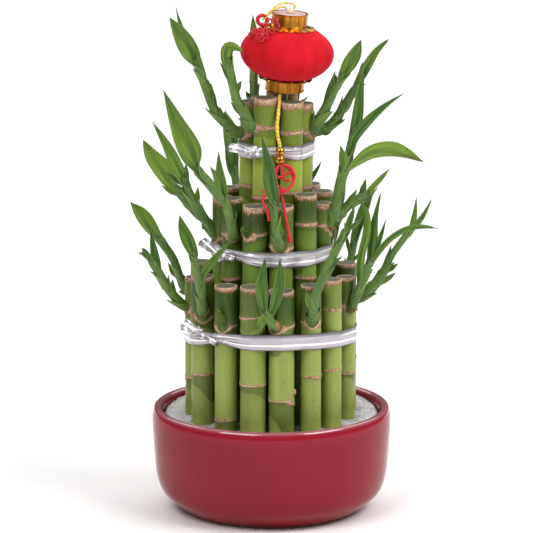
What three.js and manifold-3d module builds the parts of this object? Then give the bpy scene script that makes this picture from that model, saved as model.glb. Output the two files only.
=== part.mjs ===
// Three-tier tower of lucky bamboo in a glazed bowl, with foil ties and a lantern on top.
// Millimetres, +Z up, the viewer of the finished piece stands on the -Y side.
// The origin is the middle of the bowl's foot.
import * as THREE from 'three';
import { mergeVertices } from 'three/addons/utils/BufferGeometryUtils.js';
import { ConvexGeometry } from 'three/addons/geometries/ConvexGeometry.js';
import Module from 'manifold-3d';

const wasm = await Module();
wasm.setup();

// Driving dimensions
const RIM_RADIUS = 60.8;
const BOWL_HEIGHT = 53.2;
const WALL = 6;
const FLOOR = 6;
const GRAVEL_TOP = 50.1;
const GRAVEL_SLOPE = 0.04;
const CANE_FOOT = 9.3;
const GAP = 0.3;
const TIE_WIDTH = 8;
const TIE_THICKNESS = 0.8;
const BLADE_THICKNESS = 0.7;
const CANE_SIDES = 8;

const metal = (color, roughness) => new THREE.MeshStandardMaterial({ color, roughness, metalness: 1 });
const dull = (color, roughness) => new THREE.MeshStandardMaterial({ color, roughness, metalness: 0 });
const GLAZE = dull('#8a2b36', 0.18);
const GRAVEL = dull('#cfcdc8', 0.95);
const LOWER_GREEN = dull('#8fa655', 0.42);
const MIDDLE_GREEN = dull('#6e8b3d', 0.42);
const UPPER_GREEN = dull('#74893c', 0.42);
const FOIL = metal('#d4cbd1', 0.25);
const GOLD = metal('#c8922a', 0.3);
const VELVET = dull('#d91828', 0.9);
const PALE_DISC = metal('#d4b0ac', 0.4);
const CREAM = dull('#ebcfa8', 0.5);
const RED_PLASTIC = dull('#c9202c', 0.25);
const GOLD_THREAD = dull('#e8c24a', 0.7);
const RED_THREAD = dull('#d81e22', 0.75);

const point = ([x, y, z]) => new THREE.Vector3(x, y, z);
const radians = THREE.MathUtils.degToRad;

// Random numbers that come out the same on every run
function seeded(seed) {
  let state = seed;
  return (low, high) => {
    state = (Math.imul(state, 1664525) + 1013904223) >>> 0;
    return low + ((high - low) * state) / 2 ** 32;
  };
}

// A closed geometry becomes a solid that can be cut and joined
function solid(geometry) {
  const bare = geometry.index ? geometry.toNonIndexed() : geometry.clone();
  bare.deleteAttribute('normal');
  bare.deleteAttribute('uv');
  const merged = mergeVertices(bare, 1e-4);
  const corners = [];
  for (let i = 0; i < merged.index.count; i += 3) {
    const [a, b, c] = [0, 1, 2].map((k) => merged.index.getX(i + k));
    if (a !== b && b !== c && c !== a) corners.push(a, b, c);
  }
  const vertProperties = new Float32Array(merged.attributes.position.array);
  const triVerts = new Uint32Array(corners);
  return new wasm.Manifold(new wasm.Mesh({ numProp: 3, vertProperties, triVerts }));
}

function geometryOf(body) {
  const mesh = body.getMesh();
  const geometry = new THREE.BufferGeometry();
  geometry.setAttribute('position', new THREE.BufferAttribute(mesh.vertProperties, 3));
  geometry.setIndex(new THREE.BufferAttribute(mesh.triVerts, 1));
  geometry.computeVertexNormals();
  return geometry;
}

const fused = (geometries) => geometries.map(solid).reduce((whole, next) => whole.add(next));

// A closed skin through a row of rings that all have the same number of corners.
// Faces past the half way round take the other diagonal, so both faces of a blade match.
function loft(rings) {
  const around = rings[0].length;
  const corners = rings.flat().flatMap((corner) => corner.toArray());
  const faces = [];
  const at = (ring, corner) => ring * around + (corner % around);
  for (let i = 0; i < rings.length - 1; i += 1) {
    for (let j = 0; j < around; j += 1) {
      const quad = [at(i, j), at(i, j + 1), at(i + 1, j + 1), at(i + 1, j)];
      const [a, b, c, d] = j < around / 2 ? quad : [quad[1], quad[2], quad[3], quad[0]];
      faces.push(a, b, c, a, c, d);
    }
  }
  for (let j = 1; j < around - 1; j += 1) {
    faces.push(at(0, 0), at(0, j + 1), at(0, j));
    faces.push(at(rings.length - 1, 0), at(rings.length - 1, j), at(rings.length - 1, j + 1));
  }
  const geometry = new THREE.BufferGeometry();
  geometry.setAttribute('position', new THREE.Float32BufferAttribute(corners, 3));
  geometry.setIndex(faces);
  return geometry;
}

const smooth = (points) => new THREE.CatmullRomCurve3(points.map(point), false, 'centripetal');

// Across and through directions of something that runs along a curve and faces one way
function frameAt(curve, t, facing, turn) {
  const along = curve.getTangent(t);
  const across = new THREE.Vector3().crossVectors(facing, along).normalize();
  across.applyAxisAngle(along, turn);
  const through = new THREE.Vector3().crossVectors(along, across).normalize();
  return { across, through };
}

// A round stem that tapers along its points
function stem(points, thickRadius, thinRadius) {
  const sides = 5;
  const curve = smooth(points);
  const steps = Math.min(Math.max(Math.round(curve.getLength() / 10), 1), 5);
  const facing = new THREE.Vector3(0, -1, 0);
  const rings = [];
  for (let i = 0; i <= steps; i += 1) {
    const t = i / steps;
    const { across, through } = frameAt(curve, t, facing, 0);
    const radius = THREE.MathUtils.lerp(thickRadius, thinRadius, t);
    const ring = [];
    for (let j = 0; j < sides; j += 1) {
      const angle = (2 * Math.PI * j) / sides;
      ring.push(
        curve.getPoint(t)
          .addScaledVector(across, radius * Math.cos(angle))
          .addScaledVector(through, radius * Math.sin(angle)),
      );
    }
    rings.push(ring);
  }
  return loft(rings);
}

// A leaf blade: a narrow neck, widest before the middle, then drawn out to a point
function blade(points, width, turn = 0, facing = [0, -1, 0]) {
  const curve = smooth(points);
  const steps = Math.min(Math.max(Math.round(curve.getLength() / 8), 2), 5);
  const rings = [];
  for (let i = 0; i <= steps; i += 1) {
    const t = i / steps;
    const { across, through } = frameAt(curve, t, point(facing), radians(turn));
    const swell = Math.sin(Math.PI * (0.12 + 0.88 * t) ** 0.8);
    const half = (width / 2) * Math.max(swell, 0.14);
    const middle = curve.getPoint(t);
    const corner = (side, face) => middle.clone()
      .addScaledVector(across, side * half)
      .addScaledVector(through, (face * BLADE_THICKNESS) / 2);
    rings.push([corner(1, -1), corner(1, 1), corner(-1, 1), corner(-1, -1)]);
  }
  return loft(rings);
}

// Something turned about the upright axis from radius and height pairs
function turned(profile, sides) {
  const outline = profile.map(([radius, height]) => new THREE.Vector2(radius, height));
  return new THREE.LatheGeometry(outline, sides).rotateX(Math.PI / 2);
}

// The bowl: round-shouldered, with a rolled lip and a flat unglazed foot
const bowlOutside = [
  [43.2, 0], [46.2, 1.5], [50.8, 5], [55.8, 10], [58.4, 17], [59.8, 30], [RIM_RADIUS, 46],
];
const lipMiddle = RIM_RADIUS - WALL / 2;
const bowlLip = [
  [RIM_RADIUS - 0.3, 51], [lipMiddle + 1.5, BOWL_HEIGHT], [lipMiddle - 1.1, BOWL_HEIGHT],
  [RIM_RADIUS - WALL + 0.2, 51],
];
const bowlInside = [[54.5, 46], [53.3, 26], [50, 13], [43, FLOOR]];

function bowl() {
  return solid(turned([[0, 0], ...bowlOutside, ...bowlLip, ...bowlInside, [0, FLOOR]], 36));
}

// Canes: three rings, each taller than the one outside it, and one cane in the middle.
// Bearings are degrees from the viewer's side, positive to the right; then come the radius,
// the height of the sawn top and the heights of the joints.
const RINGS = {
  lower: { radius: 38.4, shift: 0, lean: 0, green: LOWER_GREEN },
  middle: { radius: 25.5, shift: -0.3, lean: 0.0075, green: MIDDLE_GREEN },
  upper: { radius: 13, shift: -0.6, lean: 0.016, green: UPPER_GREEN },
};

const cane = (bearing, radius, top, joints) => ({ bearing, radius, top, joints });
const CANES = {
  lower: [
    cane(-90, 5.6, 120.2, [67.9, 104.7]),
    cane(-64.5, 5.9, 124.4, [74, 104.2]),
    cane(-36.5, 5.8, 122.5, [54, 102.5]),
    cane(-14, 6.6, 123.5, [73.8, 108.5]),
    cane(7.5, 6.5, 121.7, [66.2, 104]),
    cane(31, 5.3, 123.3, [77, 105.1]),
    cane(52, 5.2, 124.2, [78, 109.7]),
    cane(78, 4.8, 122, [72.6, 107.9]),
    cane(100, 5.5, 126, [77.3, 106]),
    cane(121, 5.6, 122.8, [70, 103]),
    cane(142.5, 6, 124.5, [64, 106]),
    cane(164, 5.7, 121.6, [75, 102]),
    cane(185, 6.1, 125, [68, 107]),
    cane(206.5, 5.6, 123.2, [79, 104]),
    cane(228, 5.9, 122.2, [66, 105]),
    cane(249, 5.4, 125.4, [72, 106]),
  ],
  middle: [
    cane(-90, 5.3, 161.7, [115, 140.5]),
    cane(-54, 5.2, 164, [123.6, 145.9]),
    cane(-21, 6.2, 161.9, [112, 148.4]),
    cane(9.5, 6.1, 162.3, [110, 141.5]),
    cane(39.5, 5.7, 167, [124.7, 152.2]),
    cane(72, 5.2, 160.2, [118, 148.8]),
    cane(103, 5.4, 163.5, [113, 147.8]),
    cane(133, 5.6, 165, [146]),
    cane(161, 5.5, 162.5, [143]),
    cane(189, 5.8, 166, [147]),
    cane(217, 5.3, 163, [144]),
    cane(244, 5.4, 164.5, [143]),
  ],
  upper: [
    cane(-90, 5.5, 211, [167.4, 194.8]),
    cane(-27, 5.8, 214.7, [164, 200]),
    cane(36, 5.7, 212.3, [166.7, 197.3]),
    cane(96, 5.6, 209.6, [167.1, 195]),
    cane(156, 5.5, 213, [194]),
    cane(216, 5.6, 210.8, [197]),
    cane(0, 5.6, 216, []),
  ],
};
const MIDDLE_CANE = 6;

// The cane's middle line at a height; each ring of canes leans a little to the right
function axisAt(ring, index, height) {
  const { radius, shift, lean } = RINGS[ring];
  const away = ring === 'upper' && index === MIDDLE_CANE ? 0 : radius;
  const bearing = radians(CANES[ring][index].bearing);
  const across = shift + lean * height + away * Math.sin(bearing);
  return [across, -away * Math.cos(bearing), height];
}

function leaning(geometry, ring, index) {
  const [across, deep] = axisAt(ring, index, 0);
  const slope = new THREE.Matrix4().makeShear(0, 0, 0, 0, RINGS[ring].lean, 0);
  return geometry.applyMatrix4(slope).translate(across, deep, 0);
}

// A bare cane with a swollen ring at each joint and a crisp sawn top
function caneBody(ring, index, grow = 0) {
  const { radius, top, joints } = CANES[ring][index];
  const wide = radius + grow;
  const profile = [[0, CANE_FOOT - grow], [wide, CANE_FOOT - grow]];
  for (const joint of joints) {
    profile.push([wide - 0.15, joint - 3], [wide + 0.3, joint]);
  }
  profile.push([wide - 0.2, top], [0, top]);
  return leaning(turned(profile, CANE_SIDES), ring, index);
}

// White gravel that fills the bowl, banked up a little at the back, with a plain pocket for
// every cane
function gravel() {
  const [rim, ...walls] = bowlInside.map(([radius, height]) => [radius - GAP, height + GAP]);
  const rounding = 0.6;
  rim[1] = GRAVEL_TOP - rounding;
  const shoulder = [rim[0] - 3, GRAVEL_TOP];
  const bed = turned([[0, FLOOR + GAP], ...walls.reverse(), rim, shoulder, [0, GRAVEL_TOP]], 24);
  const corners = bed.attributes.position;
  const lowestOnTop = GRAVEL_TOP - rounding;
  for (let i = 0; i < corners.count; i += 1) {
    if (corners.getZ(i) > lowestOnTop - 1) {
      corners.setZ(i, corners.getZ(i) + GRAVEL_SLOPE * corners.getY(i));
    }
  }
  const fill = solid(bed);
  const pockets = Object.keys(CANES).flatMap((ring) => CANES[ring].map((each, index) => {
    const wide = each.radius + GAP;
    const mouth = GRAVEL_TOP + 4;
    const hole = [[0, CANE_FOOT - GAP], [wide, CANE_FOOT - GAP], [wide, mouth], [0, mouth]];
    return leaning(turned(hole, CANE_SIDES), ring, index);
  }));
  return fill.subtract(fused(pockets));
}

// Shoots that the viewer sees. Each breaks from a joint of its cane; its stem and the
// middle line of every leaf are points in space, and a leaf's last number is its turn.
const SHOOTS = {
  upper: {
    0: [{
      from: 194.8,
      stem: [[-17.5, -3, 195.4], [-21.5, -4, 199], [-29, -5, 208], [-34, -6, 222], [-39, -7, 234]],
      thick: 3.2,
      leaves: [
        [[[-38, -7, 231], [-42, -8, 240], [-46.5, -8.5, 248], [-51, -9, 255]], 9.6],
        [[[-36, -6.5, 227], [-42, -5, 241], [-46, -4, 251], [-48, -3, 259]], 3.4, 40],
        [[[-33, -6, 219], [-35.5, -8, 230], [-38, -10, 242]], 3.6],
        [[[-28, -5, 206], [-30, -7, 215], [-32, -9, 224]], 4],
        [[[-21, -4, 197], [-24.5, -6, 203], [-26, -8, 209.5]], 4],
      ],
    }],
    1: [{
      from: 200,
      stem: [[-10, -12.5, 201], [-13, -13, 206], [-17, -13.5, 213], [-20, -14.5, 226], [-22, -15, 236]],
      thick: 3.6,
      leaves: [
        [[[-20.5, -14.5, 229], [-22.5, -15.5, 238], [-21.5, -16.5, 243], [-17.5, -17.5, 242], [-14, -18, 238]], 6],
        [[[-19, -14, 221], [-22, -13.5, 227], [-26, -12, 233]], 3.5],
        [[[-18, -14, 216], [-16.5, -16, 221], [-15, -17, 224.5]], 3],
        [[[-13, -13, 206], [-17, -13.2, 209], [-20.5, -13, 213]], 3.5],
      ],
    }],
    3: [{
      from: 195.2,
      stem: [[20.5, 0, 196.4], [23.5, -2, 201], [28, -3, 209], [33, -4, 220], [37, -4, 227]],
      thick: 3.6,
      leaves: [
        [[[34, -4, 222], [38, -4.5, 229], [42, -4.5, 236], [45, -4, 243]], 6.5],
        [[[27, -3, 207], [29.5, -6, 217], [32, -8, 228]], 4.5],
      ],
    }, {
      from: 194.6,
      stem: [[21, 3, 194.8], [28, 2.4, 197], [33, 2, 202], [39, 2.4, 211.5], [45, 2.5, 221.5]],
      thick: 3,
      leaves: [
        [[[44, 2.5, 220], [48.5, 3, 229], [53, 3.5, 236], [59, 3, 242]], 4.5],
        [[[43, 2.4, 218], [45, 0.5, 225], [46, -0.5, 231]], 2.6],
        [[[32, 2, 200.5], [34.5, -2, 206], [37, -4, 212]], 3.5],
        [[[34, 2.2, 203.5], [37.5, 4, 206], [41, 5.4, 209.5]], 3],
        [[[28, 2.4, 196], [33, 4.6, 199.5], [37, 6, 203]], 3],
      ],
    }],
    5: [{
      from: 197,
      stem: [[-8, 15, 204], [-9, 20, 214], [-8.5, 26, 228], [-8.5, 28, 238]],
      thick: 2.8,
      leaves: [
        [[[-8.5, 27.5, 234], [-9, 29, 242], [-9.5, 30, 250]], 5],
        [[[-8.5, 16, 206], [-11, 17.5, 209], [-13, 17, 213]], 3],
      ],
    }],
  },
  middle: {
    0: [{
      from: 140.5,
      stem: [[-29, -2, 143], [-32, -3, 148], [-36, -4, 154], [-41, -6, 164], [-45, -8, 174]],
      thick: 3,
      leaves: [
        [[[-44, -7.5, 171], [-48, -9, 180], [-52.5, -10, 190], [-60, -12, 203]], 6.4],
        [[[-43, -7, 169], [-43, -8.5, 175], [-43, -10, 181]], 3.5],
        [[[-39, -5, 160], [-42, -7, 164.5], [-45.5, -9, 169]], 3.5],
        [[[-38, -5, 158], [-37.5, -6.5, 163], [-37, -8, 168.5]], 3.5],
        [[[-43, -7, 169], [-48, -6.5, 172], [-53, -6, 175.5]], 3],
      ],
    }],
    1: [{
      from: 144.9,
      stem: [[-19, -20, 146], [-20.5, -23, 154], [-22.5, -24.5, 162], [-27, -25.5, 168], [-38, -26.5, 184]],
      thick: 3,
      leaves: [
        [[[-37, -26.5, 182], [-41, -27, 192], [-46.5, -27.5, 204], [-54, -28, 222]], 12],
        [[[-23.5, -24.5, 164], [-25, -24.5, 172], [-26, -24.5, 180], [-26.5, -24, 190]], 6],
        [[[-32, -26, 175], [-36, -28, 178], [-40, -29, 183]], 3],
      ],
    }],
    2: [{ from: 148.4, stem: [[-12, -27.5, 149.4], [-14, -31, 151]], thick: 2.6, leaves: [] }],
    3: [{
      from: 141.5,
      stem: [[4, -32, 143.5], [2.6, -34.5, 150], [1.6, -35, 159], [1, -35.5, 168]],
      thick: 3,
      leaves: [
        [[[1.3, -35.5, 165], [-0.5, -36.5, 176], [-2, -37, 187], [-5, -37, 200.5]], 7.6],
        [[[3.4, -33.5, 147], [4.6, -36, 150.5], [5, -37, 155]], 3.6],
      ],
    }],
    5: [{
      from: 147.8,
      stem: [[30, -9.5, 150], [32, -10, 157], [34, -10.5, 168], [36.5, -10.5, 178], [39, -10, 186]],
      thick: 3.4,
      leaves: [
        [[[36.5, -10.5, 177], [36, -13, 184], [34.5, -14, 191]], 4.5],
        [[[36, -10, 174], [42, -6, 179], [50, -5, 185.5], [59, -5, 187], [66.5, -5, 185], [75.5, -5, 181]], 8.8, 25],
        [[[38.5, -10, 184], [42, -9, 194.5], [48.5, -8.5, 202.5], [57, -8, 210], [67, -7, 216.5]], 5.5],
        [[[38.5, -9.5, 184], [43, -5.5, 203], [44.5, -4, 215], [46.5, -3, 227]], 6],
      ],
    }, {
      from: 147.8,
      stem: [[31, -7, 151], [38, -4.5, 157], [43, -3, 160.5], [49, -2, 165]],
      thick: 2.8,
      leaves: [
        [[[45, -3, 162], [46.5, -3.5, 167], [47.5, -3.5, 171.5]], 3],
        [[[48, -2.5, 164], [54, -1, 170], [60, 0, 176.5]], 2.8],
        [[[36, -6, 155.5], [40, -6.5, 161.5], [43.5, -6.5, 167.5]], 3],
        [[[29, -10, 148], [32, -12, 149.5], [35.5, -13, 151.5]], 3.5],
      ],
    }],
    11: [{
      from: 143,
      stem: [[-28, 10.4, 144], [-33, 9, 147], [-42, 9, 156], [-50, 9.5, 167]],
      thick: 3,
      leaves: [
        [[[-49, 9.5, 165], [-55, 10, 173.5], [-61, 10.5, 181], [-65, 10.5, 189]], 10],
        [[[-46, 9, 161], [-51, 7.5, 163], [-56, 6, 166.5]], 3],
        [[[-43, 9, 157], [-45, 10.5, 161], [-47, 12, 165.5]], 3],
      ],
    }],
  },
  lower: {
    0: [{
      from: 104.7,
      stem: [[-43.5, -2, 105.5], [-47, -4, 108.5], [-53, -6, 116], [-57, -7, 124], [-62, -8, 132]],
      thick: 2.8,
      leaves: [
        [[[-60.5, -8, 130], [-64, -8, 133.5], [-67.5, -8, 134.5]], 3],
        [[[-60, -8, 129], [-63, -9, 134], [-65.5, -10, 137.5]], 3],
        [[[-57, -7, 124], [-59, -6.5, 133], [-61, -6, 145.5]], 4.5],
        [[[-49, -5, 111], [-50, -7, 116], [-50, -9, 121]], 3.2],
      ],
    }],
    1: [{
      from: 104.2,
      stem: [[-34.5, -22, 108], [-35, -25, 115], [-36.5, -26.5, 124], [-38.5, -27.5, 134], [-39.5, -28, 140]],
      thick: 3.2,
      leaves: [
        [[[-39, -28, 137], [-42, -29, 146], [-44.5, -29.5, 152.5], [-46, -29, 158.5]], 7],
        [[[-36.3, -26.5, 123], [-33, -27, 130], [-26, -27.5, 138.5], [-18, -27, 147]], 4.5],
      ],
    }],
    2: [{ from: 104, stem: [[-24.5, -35.5, 106], [-26.5, -38.5, 110]], thick: 3.6, leaves: [] }],
    4: [{
      from: 104,
      stem: [[1.5, -44, 105], [-1, -46, 109], [-3.5, -46.8, 114.5]],
      thick: 3,
      leaves: [
        [[[-3, -46.6, 112], [-4.5, -47.2, 120], [-4.8, -47.2, 128], [-3, -46, 140.5]], 6],
        [[[-1, -46, 109], [1.5, -47.4, 117], [4, -47.4, 129], [4, -46, 139.5]], 5.8],
        [[[-2, -46.4, 110.5], [-5, -48.4, 107.5], [-6, -49, 102]], 5],
      ],
    }, { from: 68, stem: [[9, -39, 69.4], [12.4, -40, 69.8]], thick: 2.6, leaves: [] }],
    5: [{
      from: 105.1,
      stem: [[20.5, -38, 107], [21, -40, 112], [22, -40.5, 120], [30, -40, 138], [38, -38.5, 155]],
      thick: 3.2,
      leaves: [
        [[[37, -38.7, 153], [39.5, -38, 159], [41.5, -37, 165]], 3.5],
        [[[36.5, -38.8, 152], [41, -38, 155], [46.5, -37, 159.5]], 2.8],
        [[[31, -40, 140], [33, -41, 146], [35, -41.5, 152.5]], 3],
        [[[27, -40.2, 131], [31, -41.5, 136], [35.5, -42, 140.5]], 3],
        [[[21, -40, 112], [18.5, -41.5, 117], [17, -42, 123]], 4],
      ],
    }],
    7: [{
      from: 107,
      stem: [[40.5, -12, 107], [42.5, -13, 112], [48, -13.5, 126], [50, -13, 132]],
      thick: 3,
      leaves: [
        [[[49.5, -13, 130], [51, -12.5, 141], [52, -11.5, 152], [55, -10, 166]], 4.5],
        [[[44.5, -13.2, 117], [45, -16.5, 133], [48, -17, 148], [47.5, -17.5, 158], [44, -17.5, 163]], 4],
        [[[50, -13, 131], [54.5, -10.5, 142], [58, -9, 152.5]], 3],
        [[[49.6, -13, 129], [59, -13.5, 142], [68, -12.5, 147.5], [77, -11, 148.5], [85, -10, 147]], 3],
      ],
    }],
    8: [{
      from: 106,
      stem: [[43, 6.4, 107], [48, 4.5, 110.5], [56, 4, 120], [61, 5, 130], [71, 6, 144]],
      thick: 3,
      leaves: [
        [[[70, 6, 142], [72.5, 6, 150], [73.5, 6, 160.5]], 3.2],
        [[[70.5, 6, 143], [76, 7, 149], [81.5, 8, 159]], 3.2],
        [[[53, 4, 116.5], [56, 2, 122], [58, 1, 128]], 3.6],
        [[[57, 4.2, 121.5], [61, 2, 124], [64.5, 1, 127]], 3],
        [[[52, 4, 115], [58, 7, 117], [63.5, 8.5, 120.5]], 3.2],
      ],
    }],
    15: [{
      from: 106,
      stem: [[-41, 14.5, 108.5], [-45, 14, 113], [-50, 15, 126], [-60, 16, 140]],
      thick: 2.6,
      leaves: [
        [[[-58.5, 16, 138], [-64, 16.5, 146], [-68, 17, 151], [-72, 17, 155.5]], 7.6],
        [[[-50, 15, 126], [-53, 13, 132], [-54.5, 12, 138]], 3],
        [[[-46, 14.2, 116], [-50, 16, 119], [-53, 17, 124]], 3],
      ],
    }],
  },
};

// The side away from the viewer grows shoots of the same kind, by rule
const BACK_SHOOTS = {
  lower: [9, 10, 11, 12, 13],
  middle: [7, 8, 9, 10],
  upper: [4],
};
const BACK_GROWTH = {
  lower: { reach: [20, 26], rise: [26, 36], tip: [20, 27], drift: 0.35 },
  middle: { reach: [14, 18], rise: [26, 34], tip: [20, 26], drift: 0.8 },
  upper: { reach: [12, 14], rise: [17, 19], tip: [15, 17], drift: 0.3 },
};

function backShoot(ring, index) {
  const draw = seeded(101 * (index + 1) + 7 * ring.length);
  const { reach, rise, tip, drift } = BACK_GROWTH[ring];
  const { bearing, joints } = CANES[ring][index];
  const from = joints[joints.length - 1];
  const [x, y] = axisAt(ring, index, from);
  const heading = radians(bearing + drift * (180 - bearing) + draw(-4, 4));
  const out = new THREE.Vector3(Math.sin(heading), -Math.cos(heading), 0);
  const side = new THREE.Vector3(-out.y, out.x, 0);
  const place = (away, sideways, height) => [
    x + out.x * away + side.x * sideways,
    y + out.y * away + side.y * sideways,
    from + height,
  ];
  const far = draw(...reach);
  const high = draw(...rise);
  const long = draw(...tip);
  const sway = draw(-3, 3);
  const facing = side.toArray();
  const leaves = [
    [[place(far - 1, sway, high - 3), place(far + 0.3 * long, sway, high + 0.45 * long),
      place(far + 0.6 * long, sway + 1, high + 0.8 * long), place(far + 0.95 * long, sway + 2, high + long)],
    draw(6, 9), draw(55, 80), facing],
    [[place(0.75 * far, sway, 0.7 * high), place(0.8 * far, sway + 3, 0.9 * high),
      place(0.85 * far, sway + 5, high + 8)], 3.6, 60, facing],
    [[place(0.6 * far, sway, 0.5 * high), place(0.75 * far, sway - 3, 0.65 * high),
      place(0.95 * far, sway - 6, 0.85 * high)], 3.4, 60, facing],
  ];
  return {
    from,
    stem: [place(6, 0, 1), place(0.45 * far, sway / 2, 0.25 * high), place(far, sway, high)],
    thick: 3,
    leaves,
  };
}

// A leafy stem: one cane with everything that grew on it
function leafyStem(ring, index) {
  const given = SHOOTS[ring][index] ?? [];
  const shoots = BACK_SHOOTS[ring].includes(index) ? [...given, backShoot(ring, index)] : given;
  const grown = shoots.flatMap(({ from, stem: route, thick, leaves }) => [
    stem([axisAt(ring, index, from), ...route], thick, leaves.length ? 1.6 : 0.75 * thick),
    ...leaves.map((leaf) => blade(...leaf)),
  ]);
  return fused([caneBody(ring, index), ...grown]);
}

// A foil ribbon drawn tight round a ring of canes, with its twisted knot and loose tail
function hullAround(ring, { height, slant }, clear, width) {
  const corners = [];
  const samples = 8;
  CANES[ring].forEach(({ radius }, index) => {
    const [x, y] = axisAt(ring, index, height);
    const wide = (radius + clear) / Math.cos(Math.PI / samples);
    for (let i = 0; i < samples; i += 1) {
      const angle = (2 * Math.PI * i) / samples;
      for (const side of [-0.5, 0.5]) {
        corners.push(new THREE.Vector3(
          x + wide * Math.cos(angle),
          y + wide * Math.sin(angle),
          side * width,
        ));
      }
    }
  });
  const slope = new THREE.Matrix4().makeShear(0, 0, 0, -slant, 0, 0);
  return solid(new ConvexGeometry(corners).applyMatrix4(slope).translate(0, 0, height));
}

const TIES = {
  lower: {
    height: 91.3,
    slant: 0.11,
    knot: [-36.5, -27, 97.5],
    neck: [[-36.5, -27, 97.5], [-32, -31.5, 95.6], [-27, -36, 93.6]],
    tail: [[-36.5, -27, 97.5], [-40, -25, 99], [-45, -22.5, 100.5]],
    spread: 7,
  },
  middle: {
    height: 135.5,
    slant: 0,
    knot: [-25.6, -20.8, 135.7],
    neck: [[-25.6, -20.8, 135.7], [-22, -23.6, 135.4], [-18, -26, 135.2]],
    tail: [[-25.6, -20.8, 135.7], [-30, -20.5, 139], [-35.5, -20, 143]],
    spread: 5.5,
  },
  upper: {
    height: 187,
    slant: 0,
    knot: [-9.4, -18.5, 188.2],
    neck: [[-9.4, -18.5, 188.2], [-5, -19.6, 187.6], [0, -19.6, 187]],
    tail: [[-9.4, -18.5, 188.2], [-14.5, -15.5, 189], [-21.5, -12.5, 189.6]],
    spread: 4.5,
  },
};

function tie(ring) {
  const { knot, neck, tail, spread } = TIES[ring];
  const outer = hullAround(ring, TIES[ring], GAP + TIE_THICKNESS, TIE_WIDTH);
  const inner = hullAround(ring, TIES[ring], GAP, TIE_WIDTH + 6);
  const lump = new THREE.IcosahedronGeometry(3, 0).scale(1, 0.8, 1).translate(...knot);
  const twist = stem(neck, 2, 0.9);
  const end = blade(tail, spread);
  return outer.add(fused([lump, twist, end])).subtract(inner);
}

// The lantern stands on the cane tops and leans a little to the right. Its body is a
// squashed ball cut flat at both ends.
const LANTERN_FOOT = [6.5, -1, 216.45];
const LANTERN_LEAN = radians(4);
const LOW_CAP_HEIGHT = 6;
const TOP_CAP_HEIGHT = 6.9;
const LOW_CAP_RADIUS = 9.9;
const TOP_CAP_RADIUS = 9.3;
const BODY_RADIUS = 23.5;
const BODY_HALF_HEIGHT = 14.6;
const BODY_END_RADIUS = 10.5;
const TRIM_THICKNESS = 0.8;
const bodyRise = (radius) => BODY_HALF_HEIGHT * Math.sqrt(1 - (radius / BODY_RADIUS) ** 2);
const BODY_START = LOW_CAP_HEIGHT + GAP;
const BODY_MIDDLE = BODY_START + bodyRise(BODY_END_RADIUS);
const BODY_STOP = BODY_MIDDLE + bodyRise(BODY_END_RADIUS);

function lanternBody() {
  const profile = [[0, BODY_START]];
  const bands = 8;
  const widest = Math.acos(BODY_END_RADIUS / BODY_RADIUS);
  for (let i = 0; i <= bands; i += 1) {
    const angle = widest * ((2 * i) / bands - 1);
    profile.push([BODY_RADIUS * Math.cos(angle), BODY_MIDDLE + BODY_HALF_HEIGHT * Math.sin(angle)]);
  }
  return solid(turned([...profile, [0, BODY_STOP]], 24));
}

function lowCap() {
  const r = LOW_CAP_RADIUS;
  const neck = r - 0.6;
  const top = LOW_CAP_HEIGHT;
  return solid(turned([[0, 0], [r, 0], [r, 1.6], [neck, 2.2], [neck, top - 1.6], [r, top - 1],
    [r, top], [0, top]], 18));
}

const TOP_CAP_START = BODY_STOP + GAP;
const TOP_CAP_WELL = TOP_CAP_RADIUS - 0.7;
const DISC_SINK = 0.3;
const DISC_THICKNESS = 0.8;
const DISC_TOP = TOP_CAP_START + TOP_CAP_HEIGHT - DISC_SINK;

function topCap() {
  const r = TOP_CAP_RADIUS;
  const waist = r - 0.5;
  const hollow = TOP_CAP_WELL - 1.8;
  const top = TOP_CAP_HEIGHT;
  const ledge = top - DISC_SINK - DISC_THICKNESS - GAP;
  const bottom = top - 3;
  const profile = [[0, 0], [r, 0], [r, 0.9], [waist, 1.3], [waist, top - 1], [r, top - 0.6], [r, top],
    [TOP_CAP_WELL, top], [TOP_CAP_WELL, ledge], [hollow, ledge], [hollow, bottom], [0, bottom]];
  return solid(turned(profile.map(([radius, height]) => [radius, height + TOP_CAP_START]), 18));
}

// The plate that closes the top cap has a hole in its middle and three slots near its edge;
// a cream bead sits in the hole
const KNOB_RADIUS = 1.95;
const KNOB_RISE = 0.8;
const KNOB_HOLE = 2.1;

function capDisc() {
  const reach = TOP_CAP_WELL - GAP;
  const bottom = DISC_TOP - DISC_THICKNESS;
  let plate = solid(turned([[KNOB_HOLE, bottom], [reach, bottom], [reach, DISC_TOP], [KNOB_HOLE, DISC_TOP],
    [KNOB_HOLE, bottom]], 18));
  for (const bearing of [-90, 0, 90]) {
    const slot = new THREE.BoxGeometry(3.4, 1.3, 3).translate(0, 6.1, DISC_TOP).rotateZ(radians(bearing));
    plate = plate.subtract(solid(slot));
  }
  return plate;
}

function knob() {
  const bead = new THREE.SphereGeometry(KNOB_RADIUS, 10, 6).rotateX(Math.PI / 2);
  return solid(bead.translate(0, 0, DISC_TOP + KNOB_RISE));
}

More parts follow.
